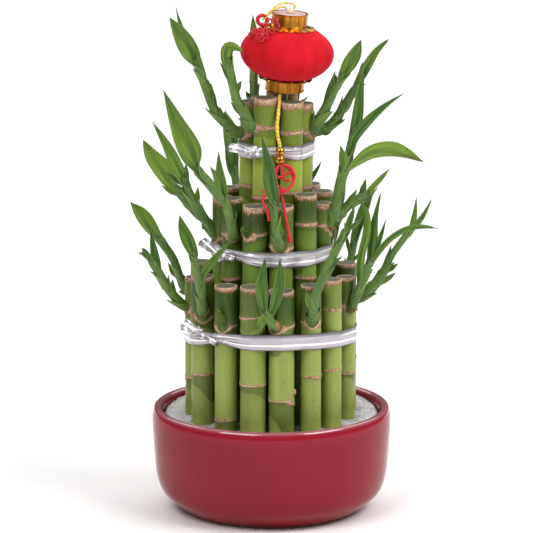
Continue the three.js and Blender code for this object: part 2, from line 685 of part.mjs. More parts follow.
// A gilt collar with pointed scallops round the foot of a cap, sloped like the shoulder under it
function trim(hole, reach, way) {
  const points = 16;
  const slope = 0.3;
  const outline = new THREE.Shape();
  for (let i = 0; i < points * 2; i += 1) {
    const angle = (Math.PI * i) / points;
    const radius = i % 2 ? reach - 1.6 : reach;
    const step = i ? 'lineTo' : 'moveTo';
    outline[step](radius * Math.cos(angle), radius * Math.sin(angle));
  }
  outline.closePath();
  outline.holes.push(new THREE.Path().absarc(0, 0, hole, 0, 2 * Math.PI, true));
  const ring = new THREE.ExtrudeGeometry(outline, { depth: TRIM_THICKNESS, bevelEnabled: false, curveSegments: 8 });
  const corners = ring.attributes.position;
  for (let i = 0; i < corners.count; i += 1) {
    const away = Math.hypot(corners.getX(i), corners.getY(i));
    corners.setZ(i, corners.getZ(i) - slope * (away - hole));
  }
  ring.translate(0, 0, bodyRise(BODY_END_RADIUS) + 2 * GAP);
  return solid(way < 0 ? ring.rotateX(Math.PI) : ring).translate([0, 0, BODY_MIDDLE]);
}

// Red plastic beads: a five-petalled flower, and a plain ring that the loop runs through
const FLOWER_THICKNESS = 1.2;

function flower(reach) {
  const outline = new THREE.Shape();
  const corners = 20;
  for (let i = 0; i < corners; i += 1) {
    const angle = (2 * Math.PI * i) / corners;
    const radius = reach * (0.84 + 0.16 * Math.cos(5 * angle));
    const step = i ? 'lineTo' : 'moveTo';
    outline[step](radius * Math.cos(angle), radius * Math.sin(angle));
  }
  outline.closePath();
  return new THREE.ExtrudeGeometry(outline, { depth: FLOWER_THICKNESS, bevelEnabled: false })
    .translate(0, 0, -FLOWER_THICKNESS / 2);
}

// Flower beads lie on the lantern's shoulder: bearing and distance from its upright middle
// line, radius, and how far each is tipped up to face outwards
const FLOWERS = [
  { bearing: -33, away: 14, reach: 4.6, tilt: 45 },
  { bearing: -68, away: 18.5, reach: 3.2, tilt: 12 },
  { bearing: -41, away: 18.8, reach: 4.2, tilt: 20 },
];
const RING_BEAD = { middle: [-4.6, -6, 253.1], radius: 2.4, wire: 1 };

function flowerBead({ bearing, away, reach, tilt }) {
  const height = bodyRise(away);
  const steep = Math.atan2(away / BODY_RADIUS ** 2, height / BODY_HALF_HEIGHT ** 2);
  const tipped = radians(tilt);
  const lift = GAP + (FLOWER_THICKNESS / 2) * Math.cos(tipped) + reach * Math.sin(tipped);
  const bead = flower(reach).rotateX(steep + tipped);
  bead.translate(0, -away - lift * Math.sin(steep), BODY_MIDDLE + height + lift * Math.cos(steep));
  return solid(bead.rotateZ(radians(bearing)));
}

function ringBead() {
  const { middle, radius, wire } = RING_BEAD;
  const ring = new THREE.TorusGeometry(radius, wire, 6, 12).rotateX(Math.PI / 2).translate(...middle);
  return solid(ring);
}

// Cords: routes are chosen by hand, and each is a tube along a smooth curve
const CORDS = {
  cord_loop: {
    width: 1,
    route: [
      [10.95, -1, 257.9], [11.8, -1.1, 258.9], [11.3, -1.3, 260.1], [9.4, -1.7, 260.9],
      [6.9, -2.3, 261.1], [4.2, -3.2, 260.7], [1.8, -4.6, 259.6], [0.2, -6, 258.2], [-0.9, -7.1, 256.8],
      [-1.9, -8, 255.5], [-3, -7.9, 254.4], [-4.1, -6.7, 253.5], [-4.1, -5.3, 253.5],
      [-3, -4, 254.4], [-1.9, -4, 255.5], [-0.8, -4.6, 256.6], [0.6, -4.6, 257.6], [2.6, -3.4, 258.5],
      [4.9, -2.1, 259.1], [6.6, -1.4, 258.9], [7.74, -1, 258],
    ],
  },
  cord_drop: {
    width: 2,
    route: [
      [4.2, -9.4, 216.0], [4, -10.4, 213.8], [3.8, -13, 211], [3.4, -15.8, 207.6], [3, -18, 203.4],
      [2.9, -20, 198.8], [3.6, -21.4, 194.8], [4.2, -21.8, 191.8], [4.25, -21.8, 189],
    ],
  },
  string_right: {
    width: 1.4,
    route: [
      [4, -21.8, 182.2], [2.9, -22.2, 179.4], [2, -22.8, 176.2], [2.4, -23.8, 172.8], [4, -25.2, 169.8],
      [5.2, -27.4, 167], [5.9, -30, 164.8], [6.5, -32, 161.6], [7.2, -32.6, 157.6], [8, -32.6, 153],
      [8.8, -32.2, 148.4], [9.5, -31.8, 143.8],
    ],
  },
  string_left: {
    width: 1.4,
    route: [
      [5.9, -21.9, 182.6], [8.6, -22.6, 180.4], [10.6, -23.6, 177], [10.4, -25, 173.4], [8, -26.6, 170.6],
      [4.4, -27.8, 169], [0.6, -28.4, 168.8], [-2.6, -28.4, 168.4], [-4.4, -28.6, 166], [-3.6, -29, 163.2],
      [-2, -28.8, 160.4], [-1.5, -28.6, 157.4], [-1, -28.4, 154.8],
    ],
  },
};

function cord(name) {
  const { width, route } = CORDS[name];
  const sides = 8;
  const ring = [];
  for (let i = 0; i < sides; i += 1) {
    const angle = (2 * Math.PI * i) / sides;
    ring.push(new THREE.Vector2((width / 2) * Math.cos(angle), (width / 2) * Math.sin(angle)));
  }
  const extrudePath = smooth(route);
  const steps = Math.round(extrudePath.getLength() / (2.5 * width));
  return solid(new THREE.ExtrudeGeometry(new THREE.Shape(ring), { steps, extrudePath, bevelEnabled: false }));
}

// The gilt gourd bead: two balls, with a socket for the cord in the upper one
const GOURD = { middle: [4.25, -21.8], low: 184.9, high: 189.3, ball: 2.35, socket: 1.45 };

function gourd() {
  const { middle, low, high, ball, socket } = GOURD;
  const balls = [low, high].map((height) => new THREE.SphereGeometry(ball, 10, 6)
    .rotateX(Math.PI / 2).translate(...middle, height));
  const bore = turned([[0, high - 0.7], [socket, high - 0.7], [socket, high + 5], [0, high + 5]], 12);
  return fused(balls).subtract(solid(bore.translate(...middle, 0)));
}

// Assembly
const tower = new THREE.Group();

function add(parent, name, body, material) {
  const piece = new THREE.Mesh(geometryOf(body), material);
  piece.name = name;
  parent.add(piece);
  return piece;
}

add(tower, 'bowl', bowl(), GLAZE);
add(tower, 'gravel', gravel(), GRAVEL);
for (const ring of Object.keys(CANES)) {
  CANES[ring].forEach((each, index) => {
    const number = String(index + 1).padStart(2, '0');
    add(tower, `cane_${ring}_${number}`, leafyStem(ring, index), RINGS[ring].green);
  });
  add(tower, `tie_${ring}`, tie(ring), FOIL);
}

const lantern = new THREE.Group();
lantern.position.set(...LANTERN_FOOT);
lantern.rotation.y = LANTERN_LEAN;
add(lantern, 'lantern_body', lanternBody(), VELVET);
add(lantern, 'lantern_cap_bottom', lowCap(), GOLD);
add(lantern, 'lantern_cap_top', topCap(), GOLD);
add(lantern, 'lantern_cap_disc', capDisc(), PALE_DISC);
add(lantern, 'lantern_knob', knob(), CREAM);
add(lantern, 'lantern_trim_bottom', trim(LOW_CAP_RADIUS + GAP, 13.6, -1), GOLD);
add(lantern, 'lantern_trim_top', trim(TOP_CAP_RADIUS + GAP, 13.6, 1), GOLD);
FLOWERS.forEach((each, index) => add(lantern, `bead_flower_${index + 1}`, flowerBead(each), RED_PLASTIC));
tower.add(lantern);

add(tower, 'bead_ring', ringBead(), RED_PLASTIC);
add(tower, 'bead_gourd', gourd(), GOLD);
for (const name of Object.keys(CORDS)) {
  add(tower, name, cord(name), name.startsWith('cord') ? GOLD_THREAD : RED_THREAD);
}

export default tower;
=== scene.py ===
"""The looks of a lucky bamboo tower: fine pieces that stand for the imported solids.

Sizes in the classes are millimetres and become metres when a mesh is finished. +Z is up and
the viewer stands on the -Y side, as in the solids.
"""

import functools
import logging
import math
import random
from dataclasses import dataclass, field
from enum import Enum
from typing import Callable, Sequence

import bmesh
import bpy
from mathutils import Matrix, Vector, geometry, noise


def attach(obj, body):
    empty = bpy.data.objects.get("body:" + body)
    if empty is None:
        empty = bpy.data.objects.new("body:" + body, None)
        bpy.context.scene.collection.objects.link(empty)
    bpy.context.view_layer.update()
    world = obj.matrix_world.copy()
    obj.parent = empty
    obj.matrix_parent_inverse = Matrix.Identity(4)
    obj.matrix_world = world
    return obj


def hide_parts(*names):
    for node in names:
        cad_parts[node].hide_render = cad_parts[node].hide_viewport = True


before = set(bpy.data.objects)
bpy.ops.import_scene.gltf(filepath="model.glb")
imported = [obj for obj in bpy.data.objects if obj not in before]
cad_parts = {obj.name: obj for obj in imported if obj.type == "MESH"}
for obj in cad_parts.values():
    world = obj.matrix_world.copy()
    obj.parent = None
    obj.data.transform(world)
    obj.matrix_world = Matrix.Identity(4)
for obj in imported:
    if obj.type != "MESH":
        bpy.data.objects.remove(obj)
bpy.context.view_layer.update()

LOG = logging.getLogger("tower")
MM = 0.001
BODY = "root"
GAP = 0.3
TOWARDS_VIEWER = Vector((0, -1, 0))
Point = tuple[float, float, float]

# What adds a node to one material and gives its outputs
Adder = Callable[..., bpy.types.bpy_prop_collection]

# Sockets of a Mix node that mixes colours
FACTOR, FIRST, SECOND, MIXED = 0, 6, 7, 2


def linear(shade: str) -> tuple[float, float, float, float]:
    """Turns an sRGB hex colour into linear light.

    Args:
        shade: The colour, such as "#8a2b36".

    Returns:
        Red, green, blue and alpha for a shader socket.
    """
    channels = [int(shade[i : i + 2], 16) / 255 for i in (1, 3, 5)]
    curve = [c / 12.92 if c <= 0.04045 else ((c + 0.055) / 1.055) ** 2.4 for c in channels]
    return (curve[0], curve[1], curve[2], 1.0)


def per(size: float) -> float:
    """Gives the texture scale at which one feature is size millimetres wide."""
    return 1 / (size * MM)


def plug(tree: bpy.types.NodeTree, node: bpy.types.Node, inputs: dict) -> None:
    """Gives a node's inputs what they get, by name or number: a socket to link, or a value.

    Args:
        tree: The node tree.
        node: The node.
        inputs: What each input gets.
    """
    for key, value in inputs.items():
        if isinstance(value, bpy.types.NodeSocket):
            tree.links.new(value, node.inputs[key])
        else:
            node.inputs[key].default_value = value


def add_node(
    tree: bpy.types.NodeTree, kind: str, inputs: dict | None = None, **settings: object
) -> bpy.types.bpy_prop_collection:
    """Adds a node with its settings and links.

    Args:
        tree: The node tree that it goes in.
        kind: Blender's name for the kind of node.
        inputs: What each input gets, by name or number.
        **settings: The node's own settings.

    Returns:
        The new node's outputs.
    """
    made = tree.nodes.new(kind)
    for name, value in settings.items():
        setattr(made, name, value)
    plug(tree, made, inputs or {})
    return made.outputs


def layered(
    add: Adder, base: str, *coats: tuple[bpy.types.NodeSocket, str | bpy.types.NodeSocket]
) -> bpy.types.NodeSocket:
    """Lays coats over a base colour, the last on top.

    Args:
        add: What adds a node to the finish.
        base: The base colour.
        *coats: How far each coat covers, and its colour.

    Returns:
        The colour that results.
    """
    colour = linear(base)
    for cover, shade in coats:
        over = linear(shade) if isinstance(shade, str) else shade
        colour = add("ShaderNodeMix", {FACTOR: cover, FIRST: colour, SECOND: over}, data_type="RGBA")[MIXED]
    return colour


@dataclass(frozen=True)
class Finish:
    """A surface finish that can paint itself on a material."""

    name: str

    def paint(self, add: Adder) -> dict:
        """Adds the nodes of this finish and gives what each input of the shader gets."""
        return {}

    def material(self) -> bpy.types.Material:
        """Makes the material of this finish.

        Returns:
            The material.
        """
        made = bpy.data.materials.new(self.name)
        made.use_nodes = True
        inputs = self.paint(functools.partial(add_node, made.node_tree))
        plug(made.node_tree, made.node_tree.nodes["Principled BSDF"], inputs)
        return made


@functools.cache
def dressed(finish: Finish) -> bpy.types.Material:
    """Gives the one material of a finish."""
    return finish.material()


@dataclass(frozen=True)
class CaneSkin(Finish):
    """Dracaena cane: skin with a wax coat and lengthwise fibres, and corky tan scars at each joint."""

    light: str
    deep: str
    shaded: str

    def paint(self, add: Adder) -> dict:
        """Mixes green by age and painted shade, lays pale wax patches that are partly painted highlight, then
        cork where the mesh says a scar or sawn rim is.

        Args:
            add: What adds a node.

        Returns:
            What each input of the shader gets.
        """
        place = add("ShaderNodeTexCoord")["Object"]
        drawn_out = add("ShaderNodeMapping", {"Vector": place, "Scale": (1, 1, 0.06)})
        # Fibres are 0.6 mm apart and run along the cane
        fibre = add("ShaderNodeTexNoise", {"Vector": drawn_out[0], "Scale": per(0.6), "Detail": 3.0})[0]
        cloud = add("ShaderNodeTexNoise", {"Vector": drawn_out[0], "Scale": per(6), "Detail": 2.0})[0]
        # Torn cork edges wander by about 1.5 mm
        torn = add(
            "ShaderNodeTexNoise", {"Vector": place, "Scale": per(1.5), "Detail": 4.0, "Roughness": 0.6}
        )[0]
        facts = {
            name: add("ShaderNodeAttribute", attribute_name=name)["Fac"]
            for name in ("gap", "breadth", "under", "reach", "bloom_and_highlight", "edge", "tone")
        }
        older = add("ShaderNodeMapRange", {"Value": cloud, "From Min": 0.3, "From Max": 0.7})[0]
        age = add("ShaderNodeMath", {0: older, 1: facts["tone"]}, operation="MULTIPLY")[0]
        # Painted shade: darker green below each joint, down to a slanting border
        past = add("ShaderNodeMath", {0: facts["reach"], 1: facts["gap"]}, operation="SUBTRACT")[0]
        shade_below_joints = add(
            "ShaderNodeMapRange", {"Value": past, "From Min": -0.3, "From Max": 0.3, "To Max": 0.6}
        )[0]
        shaded = add("ShaderNodeMath", {0: facts["under"], 1: shade_below_joints}, operation="MAXIMUM")[0]
        # Pale patches just above each joint, partly wax and partly painted highlight
        wax_and_highlight = add("ShaderNodeMath", {0: facts["bloom_and_highlight"], 1: fibre}, operation="MULTIPLY")[0]
        lines = add(
            "ShaderNodeMapRange", {"Value": fibre, "From Min": 0.45, "From Max": 0.8, "To Max": 0.14}
        )[0]
        # Brown freckles up to 1 mm across, thinly scattered
        freckle = add("ShaderNodeTexVoronoi", {"Vector": place, "Scale": per(5.5)})[0]
        spot = add(
            "ShaderNodeMapRange",
            {"Value": freckle, "From Min": 0.05, "From Max": 0.11, "To Min": 0.65, "To Max": 0.0},
        )[0]
        raggedness = add(
            "ShaderNodeMapRange",
            {"Value": torn, "From Min": 0.3, "From Max": 0.7, "To Min": -0.75, "To Max": 0.75},
        )[0]
        reach = add("ShaderNodeMath", {0: facts["gap"], 1: facts["breadth"]}, operation="DIVIDE")[0]
        from_joint = add("ShaderNodeMath", {0: reach, 1: raggedness})[0]
        from_edge = add("ShaderNodeMath", {0: facts["edge"], 1: raggedness})[0]
        nearest = add("ShaderNodeMath", {0: from_joint, 1: from_edge}, operation="MINIMUM")[0]
        cork = add(
            "ShaderNodeMapRange",
            {"Value": nearest, "From Min": 0.85, "From Max": 1.05, "To Min": 1.0, "To Max": 0.0},
        )[0]
        seam = add(
            "ShaderNodeMapRange",
            {"Value": nearest, "From Min": 1.05, "From Max": 1.4, "To Min": 0.8, "To Max": 0.0},
        )[0]
        dry = add("ShaderNodeMapRange", {"Value": torn, "From Min": 0.35, "From Max": 0.62})[0]
        bark = layered(add, "#8d6246", (dry, "#d3b39c"))
        colour = layered(
            add, self.light, (age, self.deep), (shaded, self.shaded), (wax_and_highlight, "#a3ae6c"), (lines, "#9aa55a"),
            (spot, "#7a5230"), (seam, "#8a5a3a"), (cork, bark),
        )
        dull = add("ShaderNodeMapRange", {"Value": cork, "To Min": 0.36, "To Max": 0.85})[0]
        relief = add("ShaderNodeMath", {0: fibre, 1: cork}, operation="MAXIMUM")[0]
        bump = add("ShaderNodeBump", {"Height": relief, "Strength": 0.35, "Distance": 0.15 * MM})[0]
        return {"Base Color": colour, "Roughness": dull, "Normal": bump, "Specular IOR Level": 0.25}


@dataclass(frozen=True)
class SawnTop(Finish):
    """Sawn cane end: a grey-green fibrous pith inside a ring of dried tan bark."""

    def paint(self, add: Adder) -> dict:
        """Lays bark within a millimetre of the edge and fibre ends inside it.

        Args:
            add: What adds a node.

        Returns:
            What each input of the shader gets.
        """
        place = add("ShaderNodeTexCoord")["Object"]
        edge = add("ShaderNodeAttribute", attribute_name="edge")["Fac"]
        # Fibre bundles show as dots 0.7 mm apart
        dots = add("ShaderNodeTexVoronoi", {"Vector": place, "Scale": per(0.7)})[0]
        stain = add("ShaderNodeTexNoise", {"Vector": place, "Scale": per(3), "Detail": 3.0})[0]
        dotted = add(
            "ShaderNodeMapRange", {"Value": dots, "From Min": 0.1, "From Max": 0.5, "To Max": 0.5}
        )[0]
        wander = add("ShaderNodeMapRange", {"Value": stain, "To Min": -0.5, "To Max": 0.5})[0]
        depth = add("ShaderNodeMath", {0: edge, 1: wander})[0]
        rim = add(
            "ShaderNodeMapRange",
            {"Value": depth, "From Min": 0.35, "From Max": 0.7, "To Min": 1.0, "To Max": 0.0},
        )[0]
        worn = layered(add, "#57604a", (stain, "#8b8470"))
        colour = layered(add, "#4a4f3c", (dotted, worn), (rim, "#cfae98"))
        bump = add("ShaderNodeBump", {"Height": dots, "Strength": 0.5, "Distance": 0.2 * MM})[0]
        return {"Base Color": colour, "Normal": bump, "Roughness": 0.8}


@dataclass(frozen=True)
class LeafGreen(Finish):
    """Dracaena leaf: satin blade with fine parallel veins, paler where it clasps the stem."""

    light: str
    deep: str
    clasp: str

    def paint(self, add: Adder) -> dict:
        """Mixes the green by the leaf's own tone, then veins, pale margins and a dark tip.

        Args:
            add: What adds a node.

        Returns:
            What each input of the shader gets.
        """
        sheet = add("ShaderNodeUVMap", uv_map="UVMap")[0]
        across, along = add("ShaderNodeSeparateXYZ", {0: sheet})[:2]
        tone = add("ShaderNodeAttribute", attribute_name="tone")["Fac"]
        clasped = add("ShaderNodeAttribute", attribute_name="clasp")["Fac"]
        # About 25 veins lie side by side across a blade
        lengthwise = add("ShaderNodeMapping", {"Vector": sheet, "Scale": (25, 1.2, 1)})
        vein = add("ShaderNodeTexNoise", {"Vector": lengthwise[0], "Scale": 1.0, "Detail": 2.0})[0]
        patchy = add("ShaderNodeMapping", {"Vector": sheet, "Scale": (2.2, 1.6, 1)})
        cloud = add("ShaderNodeTexNoise", {"Vector": patchy[0], "Scale": 1.6, "Detail": 1.0})[0]
        uneven = add(
            "ShaderNodeMapRange",
            {"Value": cloud, "From Min": 0.3, "From Max": 0.7, "To Min": -0.25, "To Max": 0.25},
        )[0]
        depth = add("ShaderNodeMath", {0: tone, 1: uneven}, use_clamp=True)[0]
        lines = add(
            "ShaderNodeMapRange", {"Value": vein, "From Min": 0.35, "From Max": 0.65, "To Max": 0.22}
        )[0]
        off_middle = add("ShaderNodeMath", {0: across, 1: 0.5}, operation="SUBTRACT")[0]
        sideways = add("ShaderNodeMath", {0: off_middle}, operation="ABSOLUTE")[0]
        midrib = add(
            "ShaderNodeMapRange",
            {"Value": sideways, "From Min": 0.02, "From Max": 0.09, "To Min": 0.27, "To Max": 0.0},
        )[0]
        margin = add(
            "ShaderNodeMapRange", {"Value": sideways, "From Min": 0.455, "From Max": 0.49, "To Max": 0.35}
        )[0]
        tip = add(
            "ShaderNodeMapRange", {"Value": along, "From Min": 0.86, "From Max": 1.0, "To Max": 0.7}
        )[0]
        colour = layered(
            add, self.light, (depth, self.deep), (clasped, self.clasp), (lines, "#2f531c"),
            (midrib, "#3d6620"), (margin, "#9fb07f"), (tip, "#345025"),
        )
        bump = add("ShaderNodeBump", {"Height": vein, "Strength": 0.3, "Distance": 0.12 * MM})[0]
        return {
            "Base Color": colour, "Normal": bump, "Roughness": 0.48, "Specular IOR Level": 0.32,
            "Subsurface Weight": 0.08, "Subsurface Radius": (0.0006, 0.001, 0.0003),
        }


@dataclass(frozen=True)
class Glaze(Finish):
    """Dipped and fired stoneware: deep burgundy glass that runs thin and redder at the lip."""

    foot_height: float = 0.9
    lip_start: float = 44.0
    lip_stop: float = 51.5
    bead_start: float = 50.9
    bead_stop: float = 52.2
    reflection_start: float = 51.9
    reflection_stop: float = 53.0

    def paint(self, add: Adder) -> dict:
        """Mixes the glaze by height, paints a pale reflection on top of the lip, bares the clay foot and
        pricks a few pinholes.

        Args:
            add: What adds a node.

        Returns:
            What each input of the shader gets.
        """
        place = add("ShaderNodeTexCoord")["Object"]
        height = add("ShaderNodeSeparateXYZ", {0: place})[2]
        cloud = add("ShaderNodeTexNoise", {"Vector": place, "Scale": per(38), "Detail": 2.0})[0]
        thin = add(
            "ShaderNodeMapRange",
            {
                "Value": height, "From Min": self.lip_start * MM, "From Max": self.lip_stop * MM,
                "To Max": 0.85,
            },
            interpolation_type="SMOOTHSTEP",
        )[0]
        # Painted reflection: the top of the lip is paler and greyer
        lip_reflection = add(
            "ShaderNodeMapRange",
            {
                "Value": height, "From Min": self.reflection_start * MM, "From Max": self.reflection_stop * MM,
                "To Max": 0.55,
            },
        )[0]
        # Pinholes are half a millimetre wide and a few centimetres apart
        hole = add("ShaderNodeTexVoronoi", {"Vector": place, "Scale": per(24)})[0]
        pit = add(
            "ShaderNodeMapRange",
            {"Value": hole, "From Min": 0.012, "From Max": 0.022, "To Min": 0.8, "To Max": 0.0},
        )[0]
        bare = add(
            "ShaderNodeMapRange",
            {
                "Value": height, "From Min": self.foot_height * MM,
                "From Max": (self.foot_height + 0.4) * MM, "To Min": 1.0, "To Max": 0.0,
            },
        )[0]
        colour = layered(
            add, "#801421", (cloud, "#8f1928"), (thin, "#951d2d"), (lip_reflection, "#a9707d"), (pit, "#b58a8c"),
            (bare, "#b08a7c"),
        )
        dull = add("ShaderNodeMapRange", {"Value": bare, "To Min": 0.12, "To Max": 0.85})[0]
        # The glaze pooled to a glassy bead on the lip alone
        glassy = add(
            "ShaderNodeMapRange",
            {
                "Value": height, "From Min": self.bead_start * MM, "From Max": self.bead_stop * MM,
                "To Min": 0.22, "To Max": 1.0,
            },
        )[0]
        bump = add("ShaderNodeBump", {"Height": cloud, "Strength": 0.12, "Distance": 0.6 * MM})[0]
        return {
            "Base Color": colour, "Roughness": dull, "Normal": bump, "Coat Weight": glassy,
            "Specular IOR Level": 0.06, "Coat IOR": 1.7, "Coat Roughness": 0.03,
        }


@dataclass(frozen=True)
class WhiteGravel(Finish):
    """Crushed white marble, washed: chalky grains, each its own grey."""

    def paint(self, add: Adder) -> dict:
        """Gives each grain-sized cell its own grey and a rough face.

        Args:
            add: What adds a node.

        Returns:
            What each input of the shader gets.
        """
        place = add("ShaderNodeTexCoord")["Object"]
        # Grains are up to about a millimetre across
        grain = add("ShaderNodeTexVoronoi", {"Vector": place, "Scale": per(1.1)})
        grey = layered(add, "#aaa6a8", (grain["Color"], "#dcd9da"))
        bump = add(
            "ShaderNodeBump", {"Height": grain[0], "Strength": 0.4, "Distance": 0.3 * MM}, invert=True
        )[0]
        return {"Base Color": grey, "Normal": bump, "Roughness": 0.92}


@dataclass(frozen=True)
class SilverFoil(Finish):
    """Metallised film ribbon: bright and creased, duller along its lengthwise folds."""

    def paint(self, add: Adder) -> dict:
        """Streaks the ribbon along its length, crinkles it, and paints highlights along two folds and shade
        along its edges.

        Args:
            add: What adds a node.

        Returns:
            What each input of the shader gets.
        """
        sheet = add("ShaderNodeUVMap", uv_map="UVMap")[0]
        place = add("ShaderNodeTexCoord")["Object"]
        # Fine streaks are about half a millimetre apart across the ribbon
        lengthwise = add("ShaderNodeMapping", {"Vector": sheet, "Scale": (6, 14, 1)})
        streak = add("ShaderNodeTexNoise", {"Vector": lengthwise[0], "Scale": 1.0, "Detail": 3.0})[0]
        crinkle = add("ShaderNodeTexVoronoi", {"Vector": place, "Scale": per(4)}, feature="SMOOTH_F1")[0]
        across = add("ShaderNodeSeparateXYZ", {0: sheet})[1]
        wander = add("ShaderNodeMath", {0: streak, 1: 0.16, 2: across}, operation="MULTIPLY_ADD")[0]
        # Two folds run the length of the ribbon; a painted highlight lies along each
        turned_twice = add(
            "ShaderNodeMath", {0: wander, 1: 4.6 * math.pi, 2: -5.8}, operation="MULTIPLY_ADD"
        )[0]
        ridge = add("ShaderNodeMath", {0: turned_twice}, operation="COSINE")[0]
        painted_fold_highlight = add("ShaderNodeMapRange", {"Value": ridge, "From Min": 0.35, "From Max": 0.9})[0]
        off_middle = add("ShaderNodeMath", {0: across, 1: 0.5}, operation="SUBTRACT")[0]
        sideways = add("ShaderNodeMath", {0: off_middle}, operation="ABSOLUTE")[0]
        # Painted shade along both edges of the ribbon
        painted_edge_shade = add(
            "ShaderNodeMapRange", {"Value": sideways, "From Min": 0.43, "From Max": 0.47, "To Max": 0.85}
        )[0]
        silver = layered(add, "#b9b2ba", (painted_fold_highlight, "#ffffff"), (painted_edge_shade, "#6d6a6e"))
        dull = add(
            "ShaderNodeMapRange",
            {"Value": streak, "From Min": 0.3, "From Max": 0.7, "To Min": 0.16, "To Max": 0.3},
        )[0]
        relief = add("ShaderNodeMath", {0: crinkle, 1: 1.6, 2: streak}, operation="MULTIPLY_ADD")[0]
        bump = add("ShaderNodeBump", {"Height": relief, "Strength": 0.14, "Distance": 0.25 * MM})[0]
        return {"Base Color": silver, "Roughness": dull, "Normal": bump, "Metallic": 0.6}


@dataclass(frozen=True)
class Velvet(Finish):
    """Flocked nylon on a moulded shell: a short dense pile that brightens at grazing angles."""

    def paint(self, add: Adder) -> dict:
        """Brushes the pile up and down and raises its tips.

        Args:
            add: What adds a node.

        Returns:
            What each input of the shader gets.
        """
        place = add("ShaderNodeTexCoord")["Object"]
        combed = add("ShaderNodeMapping", {"Vector": place, "Scale": (1, 1, 0.25)})
        nap = add("ShaderNodeTexNoise", {"Vector": combed[0], "Scale": per(9), "Detail": 3.0})[0]
        brushed = add("ShaderNodeMapRange", {"Value": nap, "From Min": 0.3, "From Max": 0.7})[0]
        red = layered(add, "#b70c19", (brushed, "#d21625"))
        # Single fibres are drawn a quarter of a millimetre apart, as fine as shows
        pile = add("ShaderNodeTexNoise", {"Vector": place, "Scale": per(0.25), "Detail": 1.0})[0]
        bump = add("ShaderNodeBump", {"Height": pile, "Strength": 0.3, "Distance": 0.1 * MM})[0]
        return {
            "Base Color": red, "Normal": bump, "Roughness": 0.95, "Specular IOR Level": 0.2,
            "Sheen Weight": 0.25, "Sheen Roughness": 0.4, "Sheen Tint": linear("#ff5a62"),
        }


@dataclass(frozen=True)
class Gilding(Finish):
    """Vacuum-plated gold on moulded plastic: warm, with faint upright draw marks."""

    bright: str = "#d99b3c"
    dark: str = "#9d5c20"

    def paint(self, add: Adder) -> dict:
        """Draws upright marks and mottles the plating.

        Args:
            add: What adds a node.

        Returns:
            What each input of the shader gets.
        """
        place = add("ShaderNodeTexCoord")["Object"]
        upright = add("ShaderNodeMapping", {"Vector": place, "Scale": (1, 1, 0.12)})
        mark = add("ShaderNodeTexNoise", {"Vector": upright[0], "Scale": per(1.6), "Detail": 3.0})[0]
        spread = add("ShaderNodeMapRange", {"Value": mark, "From Min": 0.35, "From Max": 0.65})[0]
        gold = layered(add, self.dark, (spread, self.bright))
        bump = add("ShaderNodeBump", {"Height": mark, "Strength": 0.3, "Distance": 0.2 * MM})[0]
        return {"Base Color": gold, "Normal": bump, "Metallic": 1.0, "Roughness": 0.3}


@dataclass(frozen=True)
class MouldedPlastic(Finish):
    """Injection-moulded plastic: even colour with a faint flow mottle."""

    shade: str
    mottle: str
    roughness: float

    def paint(self, add: Adder) -> dict:
        """Mottles the colour over a millimetre or two.

        Args:
            add: What adds a node.

        Returns:
            What each input of the shader gets.
        """
        place = add("ShaderNodeTexCoord")["Object"]
        flow = add("ShaderNodeTexNoise", {"Vector": place, "Scale": per(1.8), "Detail": 2.0})[0]
        colour = layered(add, self.shade, (flow, self.mottle))
        bump = add("ShaderNodeBump", {"Height": flow, "Strength": 0.15, "Distance": 0.1 * MM})[0]
        return {"Base Color": colour, "Normal": bump, "Roughness": self.roughness}


@dataclass(frozen=True)
class ClearRed(Finish):
    """Clear acrylic tinted red: light passes in and comes back brighter at thin edges."""

    def paint(self, add: Adder) -> dict:
        """Tints the plastic and varies it with a moulding swirl.

        Args:
            add: What adds a node.

        Returns:
            What each input of the shader gets.
        """
        place = add("ShaderNodeTexCoord")["Object"]
        swirl = add("ShaderNodeTexNoise", {"Vector": place, "Scale": per(1.5), "Detail": 2.0})[0]
        colour = layered(add, "#c4101f", (swirl, "#f0323c"))
        return {"Base Color": colour, "Roughness": 0.08, "IOR": 1.49, "Transmission Weight": 0.35}


@dataclass(frozen=True)
class Thread(Finish):
    """Laid or braided thread: strands that run round the cord at a slant."""

    bright: str
    dark: str
    turns: float
    metallic: float = 0.0

    def paint(self, add: Adder) -> dict:
        """Winds the strands round the cord by its own unrolled map.

        Args:
            add: What adds a node.

        Returns:
            What each input of the shader gets.
        """
        sheet = add("ShaderNodeUVMap", uv_map="UVMap")[0]
        around, along = add("ShaderNodeSeparateXYZ", {0: sheet})[:2]
        laps = add("ShaderNodeMath", {0: along, 1: self.turns}, operation="MULTIPLY")[0]
        strands = add("ShaderNodeMath", {0: around, 1: 2.0}, operation="MULTIPLY")[0]
        slant = add("ShaderNodeMath", {0: laps, 1: strands})[0]
        strand = add("ShaderNodeMath", {0: slant, 1: 1.0}, operation="PINGPONG")[0]
        colour = layered(add, self.dark, (strand, self.bright))
        bump = add("ShaderNodeBump", {"Height": strand, "Strength": 0.6, "Distance": 0.2 * MM})[0]
        return {
            "Base Color": colour, "Normal": bump, "Roughness": 0.5, "Metallic": self.metallic,
            "Sheen Weight": 0.2,
        }


@dataclass(frozen=True)
class Paper(Finish):
    """Seamless studio paper."""

    def paint(self, add: Adder) -> dict:
        """Keeps the paper plain and near white."""
        return {"Base Color": linear("#f7f6f5"), "Roughness": 0.9}


